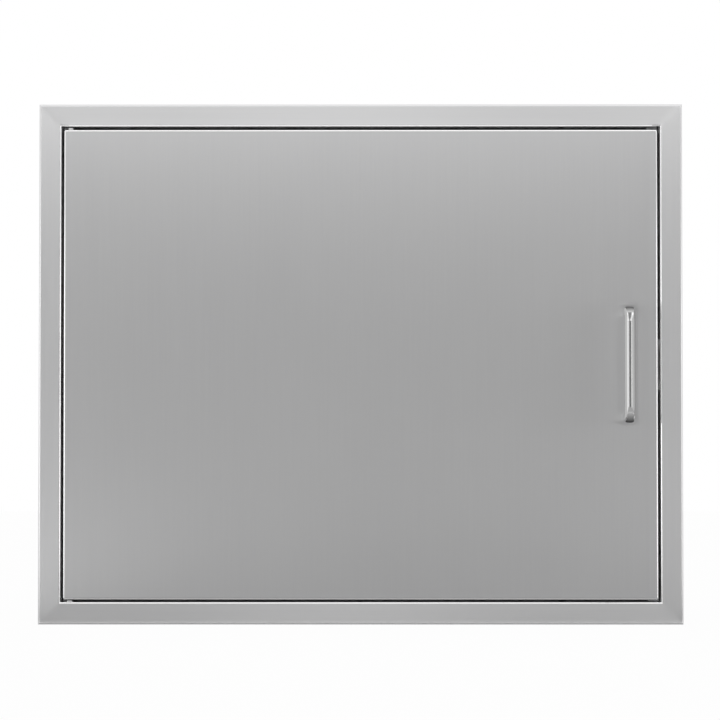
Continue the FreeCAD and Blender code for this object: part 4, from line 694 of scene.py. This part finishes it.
floor = new_object("floor", flat_sheet("floor", FLOOR_SIZE, FLOOR_SIZE))
floor.location.z = cad_box[0].z
material, tree, shader = new_finish("pale_floor")
fill(tree, shader, {"Base Color": linear(FLOOR_PALE), "Roughness": FLOOR_ROUGHNESS})
rays = add(tree, "ShaderNodeLightPath")
seen = add(tree, "ShaderNodeMath",
           {0: rays.outputs["Is Camera Ray"], 1: rays.outputs["Is Transmission Ray"]},
           operation="MAXIMUM").outputs[0]
share = add(tree, "ShaderNodeMath", {0: seen, 1: FLOOR_GLOW}, operation="MULTIPLY").outputs[0]
glow = add(tree, "ShaderNodeEmission", {"Color": (1, 1, 1, 1), "Strength": 1.0}).outputs[0]
surface = add(tree, "ShaderNodeMixShader", {0: share, 1: shader.outputs[0], 2: glow}).outputs[0]
tree.links.new(surface, tree.nodes["Material Output"].inputs["Surface"])
floor.data.materials.append(material)

world = bpy.data.worlds.new("white_surround")
bpy.context.scene.world = world
world.use_nodes = True
tree = world.node_tree
tree.nodes.clear()
rays = add(tree, "ShaderNodeLightPath")
seen = add(tree, "ShaderNodeMath",
           {0: rays.outputs["Is Camera Ray"], 1: rays.outputs["Is Glossy Ray"]},
           operation="MAXIMUM").outputs[0]
seen = add(tree, "ShaderNodeMath",
           {0: seen, 1: rays.outputs["Is Transmission Ray"]}, operation="MAXIMUM").outputs[0]
level = add(tree, "ShaderNodeMapRange", {"Value": seen, "To Min": SURROUND_LIGHT, "To Max": 1.0}).outputs[0]
light = add(tree, "ShaderNodeBackground", {"Color": (1, 1, 1, 1), "Strength": level}).outputs[0]
add(tree, "ShaderNodeOutputWorld", {"Surface": light})

# Soft boxes: width, height, place, what they point at, and brightness
soft_box("overhead_box", 1.3, 0.35, (0, -0.28, 0.62), (0, -0.02, 0.20), 0.3)
soft_box("left_box", 0.7, 0.6, (-1.35, -0.75, -0.05), (0, -0.2, 0), 0.9)
soft_box("right_box", 0.7, 0.6, (1.35, -0.75, -0.05), (0, -0.2, 0), 0.9)

# The room: width, height or depth, middle, way that the card faces, and brightness
sheet_z = cad_box[0].z + 1 * MM
for name, width, height, place, facing, radiance in (
        ("left_wall", 1.25, 0.98, (-0.875, -3.6, 0.21), BACKWARD, 0.12),
        ("right_wall", 1.5, 0.98, (1.85, -3.6, 0.21), BACKWARD, 0.02),
        ("left_sky", 2.4, 0.5, (-1.3, -3.7, 0.95), BACKWARD, 1.6),
        ("right_sky", 2.6, 0.5, (1.2, -3.7, 0.95), BACKWARD, 1.12),
        ("rear_wall", 5.0, 2.6, (0, 4.2, 0.6), FORWARD, 0.4),
        ("camera_flag", 0.44, 0.75, (0.39, -3.0, 0.115), BACKWARD, 0.2),
        ("floor_sheet", 1.0, 2.9, (0.1, -1.68, sheet_z), UPWARD, 0.46),
        ("left_sheet", 1.6, 2.9, (-1.2, -1.68, sheet_z), UPWARD, 1.1),
        ("right_sheet", 1.4, 2.9, (1.3, -1.68, sheet_z), UPWARD, 1.1)):
    glow_card(name, width, height, place, facing, radiance)

# Painted shade: a dim card, seen only in reflections, stands for the floor close in front of the frame's
# foot in the frame's shade, dimmer near the frame
glow_card("foot_sheet", 1.6, 0.16, (0, -0.09, sheet_z + 1 * MM), UPWARD, 0.4, front=0.5)

# Painted highlight: a glowing strip over the door's upper edge, where only the lower fold of the top rail
# looks down on it, lights that fold in its reflection
STRIP_DEPTH = 10 * MM
STRIP_ROOM = 0.5 * MM        # from the door's face to the strip
STRIP_LIFT = 0.3 * MM
door_low, door_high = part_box("door_skin")
strip_y = door_low.y - STRIP_ROOM - STRIP_DEPTH / 2
glow_card("fold_highlight_strip", 0.6, STRIP_DEPTH, (0, strip_y, door_high.z + STRIP_LIFT), UPWARD, 1.0)

# Painted shade on the bar: dim cards, seen only in its reflections, darken its ends and start the dark line
# along it; cap_edge and toe_edge brighten towards the front
# Over the bar's upper end and under its lower end: width, depth and middle in mm, then the brightness
# at the back edge and, where the card shades, at the front edge
CARD_ROOM = 2.25 * MM        # from the bar's ends to the cards there
LINE_ROOM = 14.2 * MM        # from its upper end to the strip that starts the dark line
bar_low, bar_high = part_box("handle_bar")
bar_x = (bar_low.x + bar_high.x) / 2
cap_z, line_z, toe_z = bar_high.z + CARD_ROOM, bar_high.z + LINE_ROOM, bar_low.z - CARD_ROOM
for name, width, depth, y, z, facing, radiance, front in (
        ("cap_flag", 14, 21, -16.5, cap_z, DOWNWARD, 0.17, None),
        ("cap_edge", 14, 12, -33, cap_z, DOWNWARD, 0.17, 0.8),
        ("cap_line", 9, 210, -147, line_z, DOWNWARD, 0.3, 0.12),
        ("toe_flag", 14, 18, -17, toe_z, UPWARD, 0.06, None),
        ("toe_edge", 14, 30, -41, toe_z, UPWARD, 0.06, 0.66)):
    glow_card(name, width * MM, depth * MM, (bar_x, y * MM, z), facing, radiance, front)

# Painted reflections along both sides of the grip: cards, each in two parts, one ahead of the bar and one
# beside it, brighter on its left than its right, set the stripes along it
SIDE_ROOM = 5.0 * MM
SIDE_FRONT, SIDE_SPLIT, SIDE_BACK = -90 * MM, -45 * MM, -2 * MM
GRIP_LENGTH = 124 * MM
GRIP_LIFT = 4 * MM           # the cards' middle above the bar's
grip_z = (bar_low.z + bar_high.z) / 2 + GRIP_LIFT
for side, x, facing, ahead, beside in (("left", bar_low.x - SIDE_ROOM, RIGHTWARD, 1.0, 0.62),
                                       ("right", bar_high.x + SIDE_ROOM, LEFTWARD, 0.58, 0.36)):
    for part, start, end, radiance in (("grip", SIDE_FRONT, SIDE_SPLIT, ahead),
                                       ("edge", SIDE_SPLIT, SIDE_BACK, beside)):
        glow_card(f"{side}_{part}", end - start, GRIP_LENGTH, (x, (start + end) / 2, grip_z), facing,
                  radiance)


# Camera: the photograph's, a long lens a little below the middle of the door and tipped up.

CAMERA_DISTANCE = 3.2
CAMERA_X, CAMERA_Z = 0.0124, -0.0976
CAMERA_PITCH = math.radians(1.818)
CAMERA_YAW = math.radians(-0.233)
FOCAL_PIXELS = 3118.9
FRAME_PIXELS = 720
SENSOR_WIDTH = 36.0
lens = bpy.data.cameras.new("camera")
lens.sensor_width = SENSOR_WIDTH
lens.lens = FOCAL_PIXELS / FRAME_PIXELS * SENSOR_WIDTH
camera = new_object("camera", lens)
camera.location = (CAMERA_X, -CAMERA_DISTANCE, CAMERA_Z)
camera.rotation_euler = (math.pi / 2 + CAMERA_PITCH, 0, -CAMERA_YAW)
bpy.context.scene.camera = camera
bpy.context.scene.view_settings.view_transform = "Standard"
